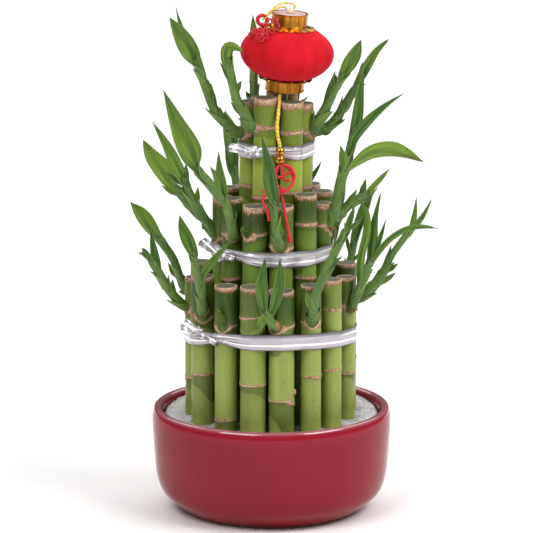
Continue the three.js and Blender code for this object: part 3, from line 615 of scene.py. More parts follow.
class Skin(Enum):
    """The finishes of this tower."""

    CANE_LOWER = CaneSkin("cane_skin_lower", "#9da956", "#718939", "#26420d")
    # The middle ring's greens are darker than the others': painted shade
    CANE_MIDDLE = CaneSkin("cane_skin_middle", "#7c9636", "#507524", "#1d360a")
    CANE_UPPER = CaneSkin("cane_skin_upper", "#a3b040", "#76932f", "#2e4c13")
    SAWN = SawnTop("sawn_cane")
    LEAF = LeafGreen("leaf_green", "#8fae3b", "#2f531a", "#5f7b3e")
    DRY = LeafGreen("dry_sheath", "#b08252", "#6f4c2c", "#8f6a42")
    GLAZE = Glaze("burgundy_glaze")
    GRAVEL = WhiteGravel("white_gravel")
    FOIL = SilverFoil("silver_foil")
    VELVET = Velvet("red_velvet")
    GILT = Gilding("gilt_plastic")
    PLATE = MouldedPlastic("cap_plate", "#e8cbc8", "#d0adab", 0.3)
    CREAM = MouldedPlastic("cream_knob", "#eed3ad", "#dcbb91", 0.5)
    RED_BEAD = ClearRed("red_bead")
    GOLD_THREAD = Thread("gold_thread", "#f7d957", "#cf9f2b", 34.0, 0.2)
    RED_THREAD = Thread("red_thread", "#f3181f", "#b81019", 60.0)
    PAPER = Paper("studio_paper")


# Shapes of curves and meshes


class Line:
    """A smooth curve through points, drawn as the solids' routes are."""

    def __init__(self, points: Sequence[Point | Vector]) -> None:
        """Takes the points that the curve runs through, in order."""
        self.points = [Vector(point) for point in points]

    def at(self, t: float) -> Vector:
        """Gives the place at t, from 0 at the first point to 1 at the last.

        Args:
            t: How far along, with every stretch between two points counted as equal.

        Returns:
            The place in millimetres.
        """
        stretches = len(self.points) - 1
        number = min(max(int(t * stretches), 0), stretches - 1)
        w = t * stretches - number
        b, c = self.points[number], self.points[number + 1]
        a = self.points[number - 1] if number else 2 * b - c
        d = self.points[number + 2] if number + 2 <= stretches else 2 * c - b
        # Centripetal Catmull-Rom: a stretch weighs with the root of its length
        before, between, after = ((q - p).length ** 0.5 or 1.0 for p, q in ((a, b), (b, c), (c, d)))
        leave = ((b - a) / before - (c - a) / (before + between) + (c - b) / between) * between
        arrive = ((c - b) / between - (d - b) / (between + after) + (d - c) / after) * between
        bend = 3 * (c - b) - 2 * leave - arrive
        twist = 2 * (b - c) + leave + arrive
        return b + w * (leave + w * (bend + w * twist))

    def heading(self, t: float) -> Vector:
        """Gives the direction of the curve at t, of length 1."""
        step = 0.002
        return (self.at(min(t + step, 1)) - self.at(max(t - step, 0))).normalized()

    def length(self, samples: int = 200) -> float:
        """Measures the curve in millimetres."""
        places = [self.at(i / samples) for i in range(samples + 1)]
        return sum((q - p).length for p, q in zip(places, places[1:]))


def eased(value: float, start: float, stop: float) -> float:
    """Rises smoothly from 0 at start to 1 at stop."""
    t = min(max((value - start) / (stop - start), 0.0), 1.0)
    return t * t * (3 - 2 * t)


def mixed(low: float, high: float, share: float) -> float:
    """Gives the value that lies at share between low and high."""
    return low + (high - low) * share


def hump(value: float, spread: float) -> float:
    """Gives 1 at 0, falling away smoothly on both sides over spread."""
    return math.exp(-((value / spread) ** 2))


def turn_between(a: float, b: float) -> float:
    """Gives the angle from a to b the short way round, in radians."""
    return (b - a + math.pi) % (2 * math.pi) - math.pi


def level_direction(bearing: float) -> Vector:
    """Gives the level direction at a bearing in radians, 0 towards the viewer."""
    return Vector((math.sin(bearing), -math.cos(bearing), 0))


def around_axis(angle: float, radius: float, height: float) -> Vector:
    """Gives the place at an angle in radians and a radius round the upright axis."""
    return Vector((math.cos(angle) * radius, math.sin(angle) * radius, height))


def new_mesh(*facts: str) -> bmesh.types.BMesh:
    """Starts a mesh that can keep an unrolled map and a value of each name at its corners.

    Args:
        *facts: The names of the values.

    Returns:
        The mesh.
    """
    bm = bmesh.new()
    bm.loops.layers.uv.new("UVMap")
    for name in facts:
        bm.verts.layers.float.new(name)
    return bm


def sheet(
    bm: bmesh.types.BMesh, across: int, along: int, place: Callable[[float, float], Vector],
    facts: Callable[[float, float], dict[str, float]] | None = None,
    skin: Callable[[float, float], int] | int = 0,
) -> list[bmesh.types.BMFace]:
    """Adds a grid, bends it to a shape, and joins edges that come to lie together.

    Args:
        bm: The mesh that gets the grid.
        across: Faces across.
        along: Faces along.
        place: Where the corner at (u, v) goes, each from 0 to 1.
        facts: The values kept at the corner at (u, v), by name.
        skin: Number of the material slot, or how it depends on (u, v).

    Returns:
        The new faces.
    """
    made = bmesh.ops.create_grid(bm, x_segments=across, y_segments=along, size=0.5, calc_uvs=True)
    corners = made["verts"]
    faces = list({face for corner in corners for face in corner.link_faces})
    for face in faces:
        middle = face.calc_center_median()
        face.material_index = skin(middle.x + 0.5, middle.y + 0.5) if callable(skin) else skin
    for corner in corners:
        u, v = corner.co.x + 0.5, corner.co.y + 0.5
        for name, value in (facts(u, v) if facts else {}).items():
            corner[bm.verts.layers.float[name]] = value
        corner.co = place(u, v)
    bmesh.ops.remove_doubles(bm, verts=corners, dist=0.002)
    return [face for face in faces if face.is_valid]


def thicken(bm: bmesh.types.BMesh, faces: list[bmesh.types.BMFace], thickness: float) -> None:
    """Makes an open sheet a closed body, with no spikes where it folds over.

    Args:
        bm: The mesh.
        faces: The faces of the sheet.
        thickness: How thick it gets.
    """
    bmesh.ops.recalc_face_normals(bm, faces=faces)
    made = bmesh.ops.extrude_face_region(bm, geom=faces, use_keep_orig=True)
    bm.normal_update()
    for part in made["geom"]:
        if isinstance(part, bmesh.types.BMVert):
            part.co -= part.normal * thickness


def turned(profile: Sequence[tuple[float, float]], steps: int) -> bmesh.types.BMesh:
    """Spins an outline of (radius, height) pairs once round the upright axis.

    Args:
        profile: The outline; ends on the axis close the body.
        steps: Faces in one turn.

    Returns:
        A mesh with the body.
    """
    bm = new_mesh()
    chain = [bm.verts.new((radius, 0, height)) for radius, height in profile]
    edges = [bm.edges.new(pair) for pair in zip(chain, chain[1:])]
    bmesh.ops.spin(
        bm, geom=chain + edges, cent=(0, 0, 0), axis=(0, 0, 1), angle=2 * math.pi, steps=steps,
        use_merge=True, use_duplicate=False,
    )
    bmesh.ops.remove_doubles(bm, verts=bm.verts, dist=0.002)
    return bm


def tube(
    bm: bmesh.types.BMesh, line: Line, rows: int, sides: int,
    radius: Callable[[float, float], float],
    facts: Callable[[float, float], dict[str, float]] | None = None, skin: int = 0,
) -> list[bmesh.types.BMFace]:
    """Adds a round body along a curve, closed at both ends.

    Args:
        bm: The mesh that gets the body.
        line: The curve.
        rows: Faces along it.
        sides: Faces round it.
        radius: The radius at (angle, place along), with the angle in radians.
        facts: The values kept at (u, v), by name.
        skin: Number of the material slot.

    Returns:
        The new faces.
    """
    frames = []
    normal = line.heading(0).orthogonal().normalized()
    for row in range(rows + 1):
        along = line.heading(row / rows)
        normal = (normal - along * normal.dot(along)).normalized()
        frames.append((line.at(row / rows), normal.copy(), along.cross(normal)))

    def place(u: float, v: float) -> Vector:
        """Puts a corner on the skin of the body."""
        middle, first, second = frames[round(v * rows)]
        angle = 2 * math.pi * u
        end = 0.0 if v in (0.0, 1.0) else 1.0
        return middle + (first * math.cos(angle) + second * math.sin(angle)) * radius(angle, v) * end

    return sheet(bm, sides, rows, place, facts, skin)


def placed(name: str, data: bpy.types.ID) -> bpy.types.Object:
    """Makes an object of a mesh, lamp or camera and links it to the scene.

    Args:
        name: The object's name.
        data: What it shows.

    Returns:
        The object.
    """
    made = bpy.data.objects.new(name, data)
    bpy.context.scene.collection.objects.link(made)
    return made


def finished(
    bm: bmesh.types.BMesh, name: str, slot: str, skins: Sequence[Skin], *nodes: str,
    crease: float | None = None,
) -> bpy.types.Object:
    """Turns a mesh in millimetres into a piece of the tower in metres.

    Args:
        bm: The mesh, which is used up.
        name: The piece's name.
        slot: The record's finish; not used.
        skins: The finishes in the order of their slots.
        *nodes: The solids that it stands for.
        crease: Faces that meet at more than this many degrees keep a sharp edge.

    Returns:
        The piece.
    """
    bmesh.ops.recalc_face_normals(bm, faces=bm.faces)
    bmesh.ops.scale(bm, vec=(MM, MM, MM), verts=bm.verts)
    mesh = bpy.data.meshes.new(name)
    bm.to_mesh(mesh)
    bm.free()
    for skin in skins:
        mesh.materials.append(dressed(skin.value))
    for face in mesh.polygons:
        face.use_smooth = True
    if crease is not None:
        mesh.set_sharp_from_angle(angle=math.radians(crease))
    piece = placed(name, mesh)
    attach(piece, BODY)
    if nodes:
        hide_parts(*nodes)
    LOG.info("%s: %d faces", name, len(mesh.polygons))
    return piece


# Studio and cords


@dataclass
class Studio:
    """Camera, soft lights and floor, as in the photograph, in metres and degrees."""

    distance: float = 2.5
    elevation: float = 12.5
    target: Point = (-0.0025, 0, 0.1255)
    lens: float = 333
    middle: Point = (0, 0, 0.12)
    floor_reach: float = 3.5
    horizon: float = 0.07
    zenith: float = 0.5

    def camera(self) -> None:
        """Puts the camera straight in front, a little above."""
        made = bpy.data.cameras.new("camera")
        made.lens = self.lens
        made.sensor_width = 36
        camera = placed("camera", made)
        rise = math.radians(self.elevation)
        back = Vector((0, -math.cos(rise), math.sin(rise)))
        camera.location = Vector(self.target) + self.distance * back
        camera.rotation_euler = back.to_track_quat("Z", "Y").to_euler()
        bpy.context.scene.camera = camera

    def softbox(
        self, name: str, place: Point, aim: Point, width: float, height: float, power: float
    ) -> None:
        """Adds one rectangular light.

        Args:
            name: The light's name.
            place: Where it hangs, in metres.
            aim: Where it looks, in metres.
            width: Metres across.
            height: Metres up and down.
            power: Watts.
        """
        light = bpy.data.lights.new(name, "AREA")
        light.shape = "RECTANGLE"
        light.size = width
        light.size_y = height
        light.energy = power
        lamp = placed(name, light)
        lamp.location = place
        lamp.rotation_euler = (Vector(place) - Vector(aim)).to_track_quat("Z", "Y").to_euler()

    def build(self) -> None:
        """Sets up the light and the floor."""
        world = bpy.data.worlds.new("studio")
        world.use_nodes = True
        tree = world.node_tree
        direction = add_node(tree, "ShaderNodeTexCoord")["Generated"]
        height = add_node(tree, "ShaderNodeSeparateXYZ", {0: direction})[2]
        squared = add_node(tree, "ShaderNodeMath", {0: height, 1: height}, operation="MULTIPLY")[0]
        strength = add_node(
            tree, "ShaderNodeMath", {0: squared, 1: self.zenith, 2: self.horizon}, operation="MULTIPLY_ADD"
        )[0]
        plug(tree, tree.nodes["Background"], {"Strength": strength, "Color": (1, 1, 1, 1)})
        bpy.context.scene.world = world
        self.softbox("softbox_left", (-0.64, -0.85, 1.18), self.middle, width=0.9, height=0.6, power=11)
        self.softbox("softbox_right", (0.94, -0.5, 1.18), self.middle, width=1, height=0.6, power=16.5)
        # A wide light over the floor behind keeps the background as white as the floor in front
        self.softbox("softbox_floor", (0, 1.3, 1.4), (0, 1.3, 0), width=3, height=1.8, power=28)
        bm = new_mesh()
        bmesh.ops.create_grid(bm, x_segments=1, y_segments=1, size=self.floor_reach, calc_uvs=True)
        mesh = bpy.data.meshes.new("floor")
        bm.to_mesh(mesh)
        bm.free()
        mesh.materials.append(dressed(Skin.PAPER.value))
        placed("floor", mesh)
        bpy.context.scene.view_settings.view_transform = "Standard"


@dataclass
class Cord:
    """One cord of three strands along its own route.

    Its lay is the length of one turn of a strand, and frayed is how much its loose end swells.
    """

    name: str
    slot: str
    skin: Skin
    diameter: float
    route: list[Point]
    far_end: str
    with_pieces: tuple[str, ...] = ()
    lay: float = 4.0
    frayed: float = 0.0

    def build(self) -> None:
        line = Line(self.route)
        length = line.length()
        rows = max(24, round(length / 0.45))
        bm = new_mesh()

        def radius(angle: float, v: float) -> float:
            """Gives the ridged radius, rounded off at both ends."""
            from_end = min(v, 1 - v) * length
            rounding = math.sqrt(max(1 - (1 - min(from_end / (0.4 * self.diameter), 1)) ** 2, 0.0))
            twist = 2 * math.pi * v * length / self.lay
            ridge = 0.9 + 0.1 * math.cos(3 * angle + twist)
            return 0.5 * self.diameter * ridge * rounding * (1 + self.frayed * eased(v, 0.6, 1))

        tube(bm, line, rows, 16, radius)
        piece = finished(bm, f"{self.name}_strands", self.slot, [self.skin], self.name)
        list(self.with_pieces)
        LOG.info("%s: %.1f mm long", self.name, length)


# Bowl and gravel


@dataclass
class Bowl:
    """Round glazed bowl with a narrow flat foot and a rolled lip, as (radius, height) outlines."""

    foot: float = 43.2
    floor: float = 6
    outside: tuple[tuple[float, float], ...] = (
        (46.2, 1.5), (50.8, 5), (55.8, 10), (58.4, 17), (59.8, 30), (60.8, 46),
        (60.5, 51), (59.3, 53.2), (56.7, 53.2), (55, 51),
    )
    inside: tuple[tuple[float, float], ...] = ((54.5, 46), (53.3, 26), (50, 13), (43, 6))
    steps: int = 160

    def build(self) -> None:
        """Turns the bowl on its smoothed outline."""
        wall = Line([(radius, 0, height) for radius, height in self.outside + self.inside])
        samples = 96
        foot = self.foot
        profile = [(0, 0), (foot - 3, 0), (foot - 0.4, 0), (foot + 0.2, 0.2), (foot + 1.6, 0.8)]
        profile += [(place.x, place.z) for place in (wall.at(i / samples) for i in range(samples + 1))]
        profile += [(20, self.floor), (0, self.floor)]
        bm = turned(profile, self.steps)
        finished(bm, "bowl_glazed", "glaze", [Skin.GLAZE], "bowl", crease=50)


@dataclass
class Gravel:
    """White gravel: a bed that is banked up a little at the back, with loose grains on top.

    The level is that of the bed's middle, and the solid's bed has a level and slope of its own.
    """

    reach: float = 54.6
    level: float = 49.4
    slope: float = 0.056
    solid_level: float = 50.1
    solid_slope: float = 0.04
    grains: int = 5600
    batch: int = 80
    small: float = 0.2
    large: float = 0.42

    def height(self, spot: Vector) -> float:
        """Gives the height of the bed at a place."""
        worn = 0.4 * eased(spot.length, self.reach - 3, self.reach)
        return self.level + self.slope * spot.y - worn

    def bed(self) -> None:
        """Tips the top of the solid's bed, which has a pocket for each cane, as the photo's lies."""
        bm = new_mesh()
        bm.from_mesh(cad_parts["gravel"].data)
        bmesh.ops.scale(bm, vec=(1 / MM, 1 / MM, 1 / MM), verts=bm.verts)
        bmesh.ops.remove_doubles(bm, verts=bm.verts, dist=0.001)
        for corner in bm.verts:
            rise = self.level - self.solid_level + (self.slope - self.solid_slope) * corner.co.y
            corner.co.z += rise * eased(corner.co.z, 40, 46)
        finished(bm, "gravel_bed", "gravel", [Skin.GRAVEL], "gravel", crease=30)

    def scatter(self, canes: list[tuple[Vector, float]]) -> None:
        """Scatters grains over the bed, clear of the canes.

        Args:
            canes: The middle and radius of every cane at the level of the gravel.
        """
        draw = random.Random(17)
        bm = new_mesh()
        heap = new_mesh()
        laid = 0
        while laid < self.grains:
            away = self.reach * math.sqrt(draw.random())
            spot = level_direction(draw.uniform(0, 2 * math.pi)) * away
            size = draw.uniform(self.small, self.large)
            if any((spot - middle).length < radius + size for middle, radius in canes):
                continue
            if away + size > self.reach:
                continue
            height = self.height(spot) + draw.uniform(-0.3, 0.2) * size
            shape = Matrix.LocRotScale(
                spot + Vector((0, 0, height)),
                Vector((draw.random(), draw.random(), draw.random())).normalized().to_track_quat("Z", "Y"),
                Vector((size, size * draw.uniform(0.7, 1), size * draw.uniform(0.6, 0.9))),
            )
            bmesh.ops.create_icosphere(heap, subdivisions=1, radius=1, matrix=shape, calc_uvs=False)
            laid += 1
            # Grains are poured in by the batch, as a small heap takes new ones far faster
            if laid % self.batch == 0:
                poured = bpy.data.meshes.new("heap")
                heap.to_mesh(poured)
                bm.from_mesh(poured)
                bpy.data.meshes.remove(poured)
                heap.clear()
        heap.free()
        finished(bm, "gravel_grains", "gravel", [Skin.GRAVEL], crease=20)


# Canes, shoots and leaves


@dataclass(frozen=True)
class Leaf:
    """One leaf: its middle line, its widest, how far it is turned from facing, its depth of green,
    and its belly, which moves the widest place: 0.8 puts it a third of the way along, 1.5 past half.
    """

    points: list[Point]
    width: float
    turn: float = 0
    facing: Point = (0, -1, 0)
    tone: float = 0.75
    belly: float = 0.8


@dataclass(frozen=True)
class Shoot:
    """One shoot: its cane's place in the ring, the height that it breaks from, its thickness, stem
    and leaves, if the cane's own skin covers it, and for a pointed bud how dark its painted shade is.
    """

    cane: int
    start: float
    thick: float
    stem: list[Point]
    leaves: list[Leaf] = field(default_factory=list)
    bark: bool = False
    shade: float = 0.0


@dataclass(frozen=True)
class Cane:
    """One cane: its bearing in the ring, radius, sawn height and joints, how dark the painted shade on
    its crown is where the viewer sees that, how much painted shade lies below its joints, 1 being as
    usual, and how deep its green is where that isn't drawn.
    """

    bearing: float
    radius: float
    top: float
    joints: list[float]
    crown: float | None = None
    shade_below_joints: float = 1.0
    tone: float | None = None


@dataclass(frozen=True)
class Growth:
    """How the shoots on the far side grow: on which canes, the ranges that their reach, rise and tip
    are drawn from, and how far they turn away from the viewer.
    """

    on: tuple[int, ...]
    reach: tuple[float, float]
    rise: tuple[float, float]
    tip: tuple[float, float]
    drift: float


@dataclass(frozen=True)
class Ribbon:
    """One foil tie: the height and slope of its band, its neck and tail, which both start at the
    knot, and how wide the tail fans out.
    """

    height: float
    slant: float
    neck: list[Point]
    tail: list[Point]
    spread: float


def seeded(seed: int) -> Callable[[float, float], float]:
    """Makes the same row of draws as the solids use.

    Args:
        seed: Where the row starts.

    Returns:
        A function that draws between two limits.
    """
    state = seed

    def draw(low: float, high: float) -> float:
        """Draws the next value."""
        nonlocal state
        state = (state * 1664525 + 1013904223) % 2**32
        return low + (high - low) * state / 2**32

    return draw


@dataclass
class Tier:
    """One ring of canes with all that grew on them and the ribbon round them.

    Its middle lies to the right of the bowl's by shift, and by lean more for each millimetre up.
    """

    name: str
    ring_radius: float
    shift: float
    lean: float
    skin: Skin
    canes: list[Cane]
    shoots: list[Shoot]
    growth: Growth
    ribbon: Ribbon
    centre_cane: int | None = None
    foot: float = 9.3
    sides: int = 40
    # How far cork reaches from a joint and below the sawn top, and sinks below a shoot
    scar: float = 0.55
    rim: tuple[float, float] = (1.0, 1.9)
    dip: float = 3.2
    # About how dark the painted shade on a crown is
    crown_shade: float = 0.85
    sheath_step: float = 8
    sheath_reach: float = 11.5
    sheath_thickness: float = 0.25
    leaf_thickness: float = 0.4
    foil_width: float = 8
    foil_thickness: float = 0.2
    neck_radii: tuple[float, float] = (2, 1.3)
    knot_radius: float = 2.4

    def axis(self, number: int, height: float) -> Vector:
        """Gives the middle of a cane at a height.

        Args:
            number: The cane's place in the ring.
            height: The height.

        Returns:
            The place.
        """
        away = 0 if number == self.centre_cane else self.ring_radius
        bearing = math.radians(self.canes[number].bearing)
        return Vector((self.shift + self.lean * height, 0, height)) + level_direction(bearing) * away

    def back_shoot(self, number: int) -> Shoot:
        """Grows the shoot of a cane on the far side, as the solids do.

        Args:
            number: The cane's place in the ring.

        Returns:
            The shoot.
        """
        draw = seeded(101 * (number + 1) + 7 * len(self.name))
        cane = self.canes[number]
        start = cane.joints[-1]
        middle = self.axis(number, start)
        heading = math.radians(cane.bearing + self.growth.drift * (180 - cane.bearing) + draw(-4, 4))
        out = level_direction(heading)
        side = Vector((-out.y, out.x, 0))

        def place(away: float, sideways: float, height: float) -> Point:
            """Gives a point away from the cane, to its side and above the joint."""
            return tuple(middle + out * away + side * sideways + Vector((0, 0, height)))

        far, high, long = draw(*self.growth.reach), draw(*self.growth.rise), draw(*self.growth.tip)
        sway = draw(-3, 3)
        facing = tuple(side)
        leaves = [
            Leaf([
                place(far - 1, sway, high - 3), place(far + 0.3 * long, sway, high + 0.45 * long),
                place(far + 0.6 * long, sway + 1, high + 0.8 * long),
                place(far + 0.95 * long, sway + 2, high + long),
            ], draw(6, 9), draw(55, 80), facing),
            Leaf([
                place(0.75 * far, sway, 0.7 * high), place(0.8 * far, sway + 3, 0.9 * high),
                place(0.85 * far, sway + 5, high + 8),
            ], 3.6, 60, facing),
            Leaf([
                place(0.6 * far, sway, 0.5 * high), place(0.75 * far, sway - 3, 0.65 * high),
                place(0.95 * far, sway - 6, 0.85 * high),
            ], 3.4, 60, facing),
        ]
        stem = [place(6, 0, 1), place(0.45 * far, sway / 2, 0.25 * high), place(far, sway, high)]
        return Shoot(number, start, 3, stem, leaves)

    def skin_of_cane(self, bm: bmesh.types.BMesh, number: int, shoots: list[Shoot]) -> None:
        """Adds the cane itself, with the lie of its scars, its painted shade, and its pale patches of wax and
        painted highlight.

        Args:
            bm: The mesh that gets it.
            number: The cane's place in the ring.
            shoots: The shoots that grow on it.
        """
        cane = self.canes[number]
        draw = random.Random(31 * number + len(self.name))
        drawn_tone = draw.uniform(0.35, 1.0)
        tone = drawn_tone if cane.tone is None else cane.tone
        rim_depth = draw.uniform(*self.rim) * (0.4 if number == self.centre_cane else 1)
        # How dark the painted shade on the crown is
        drawn_crown = self.crown_shade * draw.uniform(0.6, 1.15)
        crown = drawn_crown if cane.crown is None else cane.crown
        # Painted shade below each joint ends at a slanting border: which way it slants, its least reach and
        # how much more
        slants = {
            joint: (draw.uniform(0, 2 * math.pi), draw.uniform(2, 6), draw.uniform(0, 11))
            for joint in cane.joints
        }
        leans = {joint: (draw.uniform(0, 2 * math.pi), draw.uniform(0.1, 0.8)) for joint in cane.joints}
        middle = self.axis(number, cane.top)

        def buds(joint: float) -> list[float]:
            """Lists the directions of the shoots that break at a joint.

            Args:
                joint: The joint's height.

            Returns:
                Their bearings in radians.
            """
            found = []
            for shoot in shoots:
                if abs(shoot.start - joint) < 2.5:
                    way = Vector(shoot.stem[0]) - self.axis(number, joint)
                    found.append(math.atan2(way.y, way.x))
            return found

        grown = {joint: buds(joint) for joint in cane.joints}

        def lift(angle: float, joint: float) -> float:
            """Gives how far a joint's scar lies above its height at an angle."""
            way, slope = leans[joint]
            drop = sum(self.dip * hump(turn_between(bud, angle), 0.6) for bud in grown[joint])
            return slope * math.cos(angle - way) - drop

        # Rows of corners lie closer together near the joints and the sawn top
        rows = {self.foot, cane.top - 0.25, cane.top - 1.2, cane.top - 2.4}
        for joint in cane.joints:
            rows |= {joint + step for step in (-5, -3, -1.8, -1, -0.5, 0, 0.5, 1, 1.8, 3, 5)}
        height = self.foot + 30
        while height < cane.top - 4:
            rows.add(height)
            height += 5
        heights = [height for height in sorted(rows) if height <= cane.top - 0.2]
        inward = (0.96, 0.88, 0.7, 0.45, 0.2, 0.0)
        count = 1 + len(heights) + 1 + len(inward)

        def station(v: float) -> tuple[float, float, float]:
            """Gives height, share of the radius, and how far in from the sawn edge a row lies.

            Args:
                v: Share of the way up the grid.

            Returns:
                The three measures.
            """
            row = round(v * (count - 1))
            if row == 0:
                return self.foot, 0.0, 0.0
            if row <= len(heights):
                return heights[row - 1], 1.0, 0.0
            if row == len(heights) + 1:
                return cane.top, 0.985, 0.0
            share = inward[row - len(heights) - 2]
            return cane.top, share, (1 - share) * cane.radius

        def nearest(height: float) -> float | None:
            """Gives the joint nearest to a height."""
            return min(cane.joints, key=lambda joint: abs(joint - height), default=None)

        def place(u: float, v: float) -> Vector:
            """Puts a corner on the cane's skin.

            Args:
                u: Share of the way round.
                v: Share of the way along.

            Returns:
                The place.
            """
            height, share, inset = station(v)
            angle = 2 * math.pi * u
            joint = nearest(height)
            swell = 0.0
            if joint is not None and inset == 0 and v > 0:
                # A joint stands out by a third of a millimetre over a shallow groove
                away = height - joint
                swell = 0.35 * hump(away, 1.3) - 0.15 * hump(away + 3.2, 1.6)
                height += lift(angle, joint) * (1 - eased(abs(away), 1, 7 if away < 0 else 4.5))
                if abs(height - cane.top) < 1:
                    height = min(height, cane.top)
            uneven = 0.12 * noise.noise(around_axis(angle, 1, height / 9 + 7 * number))
            reach = (cane.radius + swell - 0.1 + uneven) * share
            centre = self.axis(number, height)
            hollow = 0.5 * eased(inset, 0.4, 2.5) + 0.25 * noise.noise(Vector((u * 5, share * 3, number)))
            low = hollow if inset > 0.3 else 0.0
            return centre + around_axis(angle, reach, -low)

        def facts(u: float, v: float) -> dict[str, float]:
            """Gives what the finish needs to know at a corner.

            Args:
                u: Share of the way round.
                v: Share of the way along.

            Returns:
                The values by name.
            """
            height, share, inset = station(v)
            angle = 2 * math.pi * u
            joint = nearest(height)
            away = height - joint if joint is not None else 50.0
            breadth = self.scar + 0.14 * math.sin(3 * angle + number)
            reach = -5.0
            if joint is not None:
                for bud in grown[joint]:
                    off = abs(turn_between(bud, angle))
                    breadth += 1.6 * hump(off - 0.72, 0.13)
                way, least, more = slants[joint]
                if away < 0:
                    reach = (least + more * hump(turn_between(way, angle), 1.1)) * cane.shade_below_joints
            # Painted shade over the crown, and fading down below each joint
            if away > 0 and joint == max(cane.joints, default=None):
                shade = crown
            else:
                shade = 0.5 * cane.shade_below_joints * math.exp(away / 9) if away < 0 else 0.0
            # Pale patches just above each joint, partly wax and partly painted highlight
            bloom_and_highlight = 0.5 * math.exp(-away / 3.5) if away > 0 else 0.0
            wavy = 1 + 0.35 * noise.noise(around_axis(angle, 1.6, number))
            edge = inset if inset else (cane.top - height) / (rim_depth * wavy)
            return {
                "gap": abs(away), "breadth": breadth, "under": shade, "reach": reach, "bloom_and_highlight": bloom_and_highlight,
                "edge": edge, "tone": tone,
            }

        def skin(u: float, v: float) -> int:
            """Gives the sawn face its own finish."""
            return 1 if v * (count - 1) > len(heights) + 1 else 0

        sheet(bm, self.sides, count - 1, place, facts, skin)

    def stem_of(self, bm: bmesh.types.BMesh, number: int, shoot: Shoot, tone: float) -> tuple[Line, Callable]:
        """Adds the stem of a shoot.

        Args:
            bm: The mesh that gets it.
            number: The cane's place in the ring.
            shoot: The shoot.
            tone: How deep its green is, from 0 to 1.

        Returns:
            The stem's middle line and its radius by place along it.
        """
        line = Line([self.axis(number, shoot.start), *shoot.stem])
        thin = 1.5 if shoot.leaves else (0.4 if shoot.shade else 0.78) * shoot.thick
        length = line.length()

        def radius_at(v: float) -> float:
            """Gives the stem's radius, thinning towards its end."""
            return mixed(shoot.thick, thin, v)

        def radius(angle: float, v: float) -> float:
            """Rounds the end off, more bluntly where the shoot was cut short."""
            blunt = 0.9 * thin
            rounding = math.sqrt(max(1 - (1 - min((1 - v) * length / blunt, 1)) ** 2, 0.0))
            ridge = 0.04 * math.sin(3 * angle + 9 * v)
            return radius_at(v) * (1 + ridge) * rounding

        rows = max(10, round(length / 1.6))

        def facts(u: float, v: float) -> dict[str, float]:
            """Gives the finish its tone, a scar at the blunt end of a stub that isn't a bud, and painted
            shade on a bud.
            """
            if not shoot.bark:
                return {"tone": tone, "clasp": 1.0}
            gap = 9.0 if shoot.shade else (1 - v) * length
            # A pointed bud gets painted shade as under
            return {"tone": tone, "gap": gap, "breadth": 0.9, "edge": 9.0, "under": shoot.shade}

        tube(bm, line, rows, 14, radius, facts, skin=0 if shoot.bark else 2)
        return line, radius_at

    def sheaths_of(
        self, bm: bmesh.types.BMesh, stem: Line, radius_at: Callable[[float], float], draw: random.Random
    ) -> None:
        """Adds the small pointed sheaths that wrap a stem on alternate sides, the lowest dry and brown.

        Args:
            bm: The mesh that gets them.
            stem: The stem's middle line.
            radius_at: The stem's radius by place along it.
            draw: Where their small differences come from.
        """
        length = stem.length()
        # Each stands off the stem, and wraps it this far each way in radians
        standoff, wrap = 0.22, 2.1
        foot = 4.5
        number = 0
        while foot + 0.8 * self.sheath_reach < length:
            dry = number == 0
            reach = min(self.sheath_reach * (0.5 if dry else draw.uniform(0.8, 1.1)), length - foot)
            heading = stem.heading(foot / length)
            side = TOWARDS_VIEWER.cross(heading).normalized() * (1 if number % 2 else -1)
            side = Matrix.Rotation(draw.uniform(-0.7, 0.7), 3, heading) @ side
            flare = 0.5 if dry else draw.uniform(0.5, 2.0)

            def place(u: float, v: float) -> Vector:
                """Puts a corner on the sheath, which narrows to a tip that stands off the stem."""
                t = (foot + v * reach) / length
                along = stem.heading(t)
                out = (side - along * side.dot(along)).normalized()
                angle = wrap * (2 * u - 1) * (1 - v) ** 0.65
                away = radius_at(t) + standoff + flare * v**2.5
                return stem.at(t) + (out * math.cos(angle) + along.cross(out) * math.sin(angle)) * away

            tone = draw.uniform(0.1, 0.9)
            faces = sheet(
                bm, 8, 7, place, lambda u, v: {"tone": tone, "clasp": 0.9 - 0.7 * v}, skin=3 if dry else 2
            )
            thicken(bm, faces, self.sheath_thickness)
            foot += self.sheath_step * (0.4 if dry else draw.uniform(0.75, 1.25))
            number += 1

    def leaf_of(
        self, bm: bmesh.types.BMesh, leaf: Leaf, stem: Line, radius_at: Callable[[float], float],
        tone: float, waver: float,
    ) -> None:
        """Adds one leaf: a sheath that clasps the stem and opens into a blade.

        Args:
            bm: The mesh that gets it.
            leaf: The leaf.
            stem: The middle line of the stem that it grows on.
            radius_at: The stem's radius by place along it.
            tone: How deep its green is, from 0 to 1.
            waver: Where its waves start, in radians.
        """
        samples = 80
        start = Vector(leaf.points[0])
        joined = min(range(samples + 1), key=lambda i: (stem.at(i / samples) - start).length) / samples
        length = stem.length()
        clasp = min(6 + 0.6 * leaf.width, 0.7 * joined * length)
        below = [stem.at(joined - clasp * share / length) for share in (1, 0.66, 0.33)]
        line = Line([*below, *leaf.points])
        before, blade = len(below), len(leaf.points) - 1
        stretches = before + blade
        # The sheath stands off the stem; it wraps, and the blade curls, this far each way in radians
        standoff, wrap, blade_curl = 0.25, 2.3, 0.55
        around_stem = radius_at(joined) + standoff
        upward = stem.heading(joined)
        outward = Vector(leaf.points[-1]) - start
        outward -= upward * outward.dot(upward)
        outward = outward.normalized() if outward.length > 0.5 else TOWARDS_VIEWER.copy()

        def blade_share(v: float) -> float:
            """Gives the place along the blade, from 0 at its start to 1 at its tip."""
            return (v * stretches - before) / blade

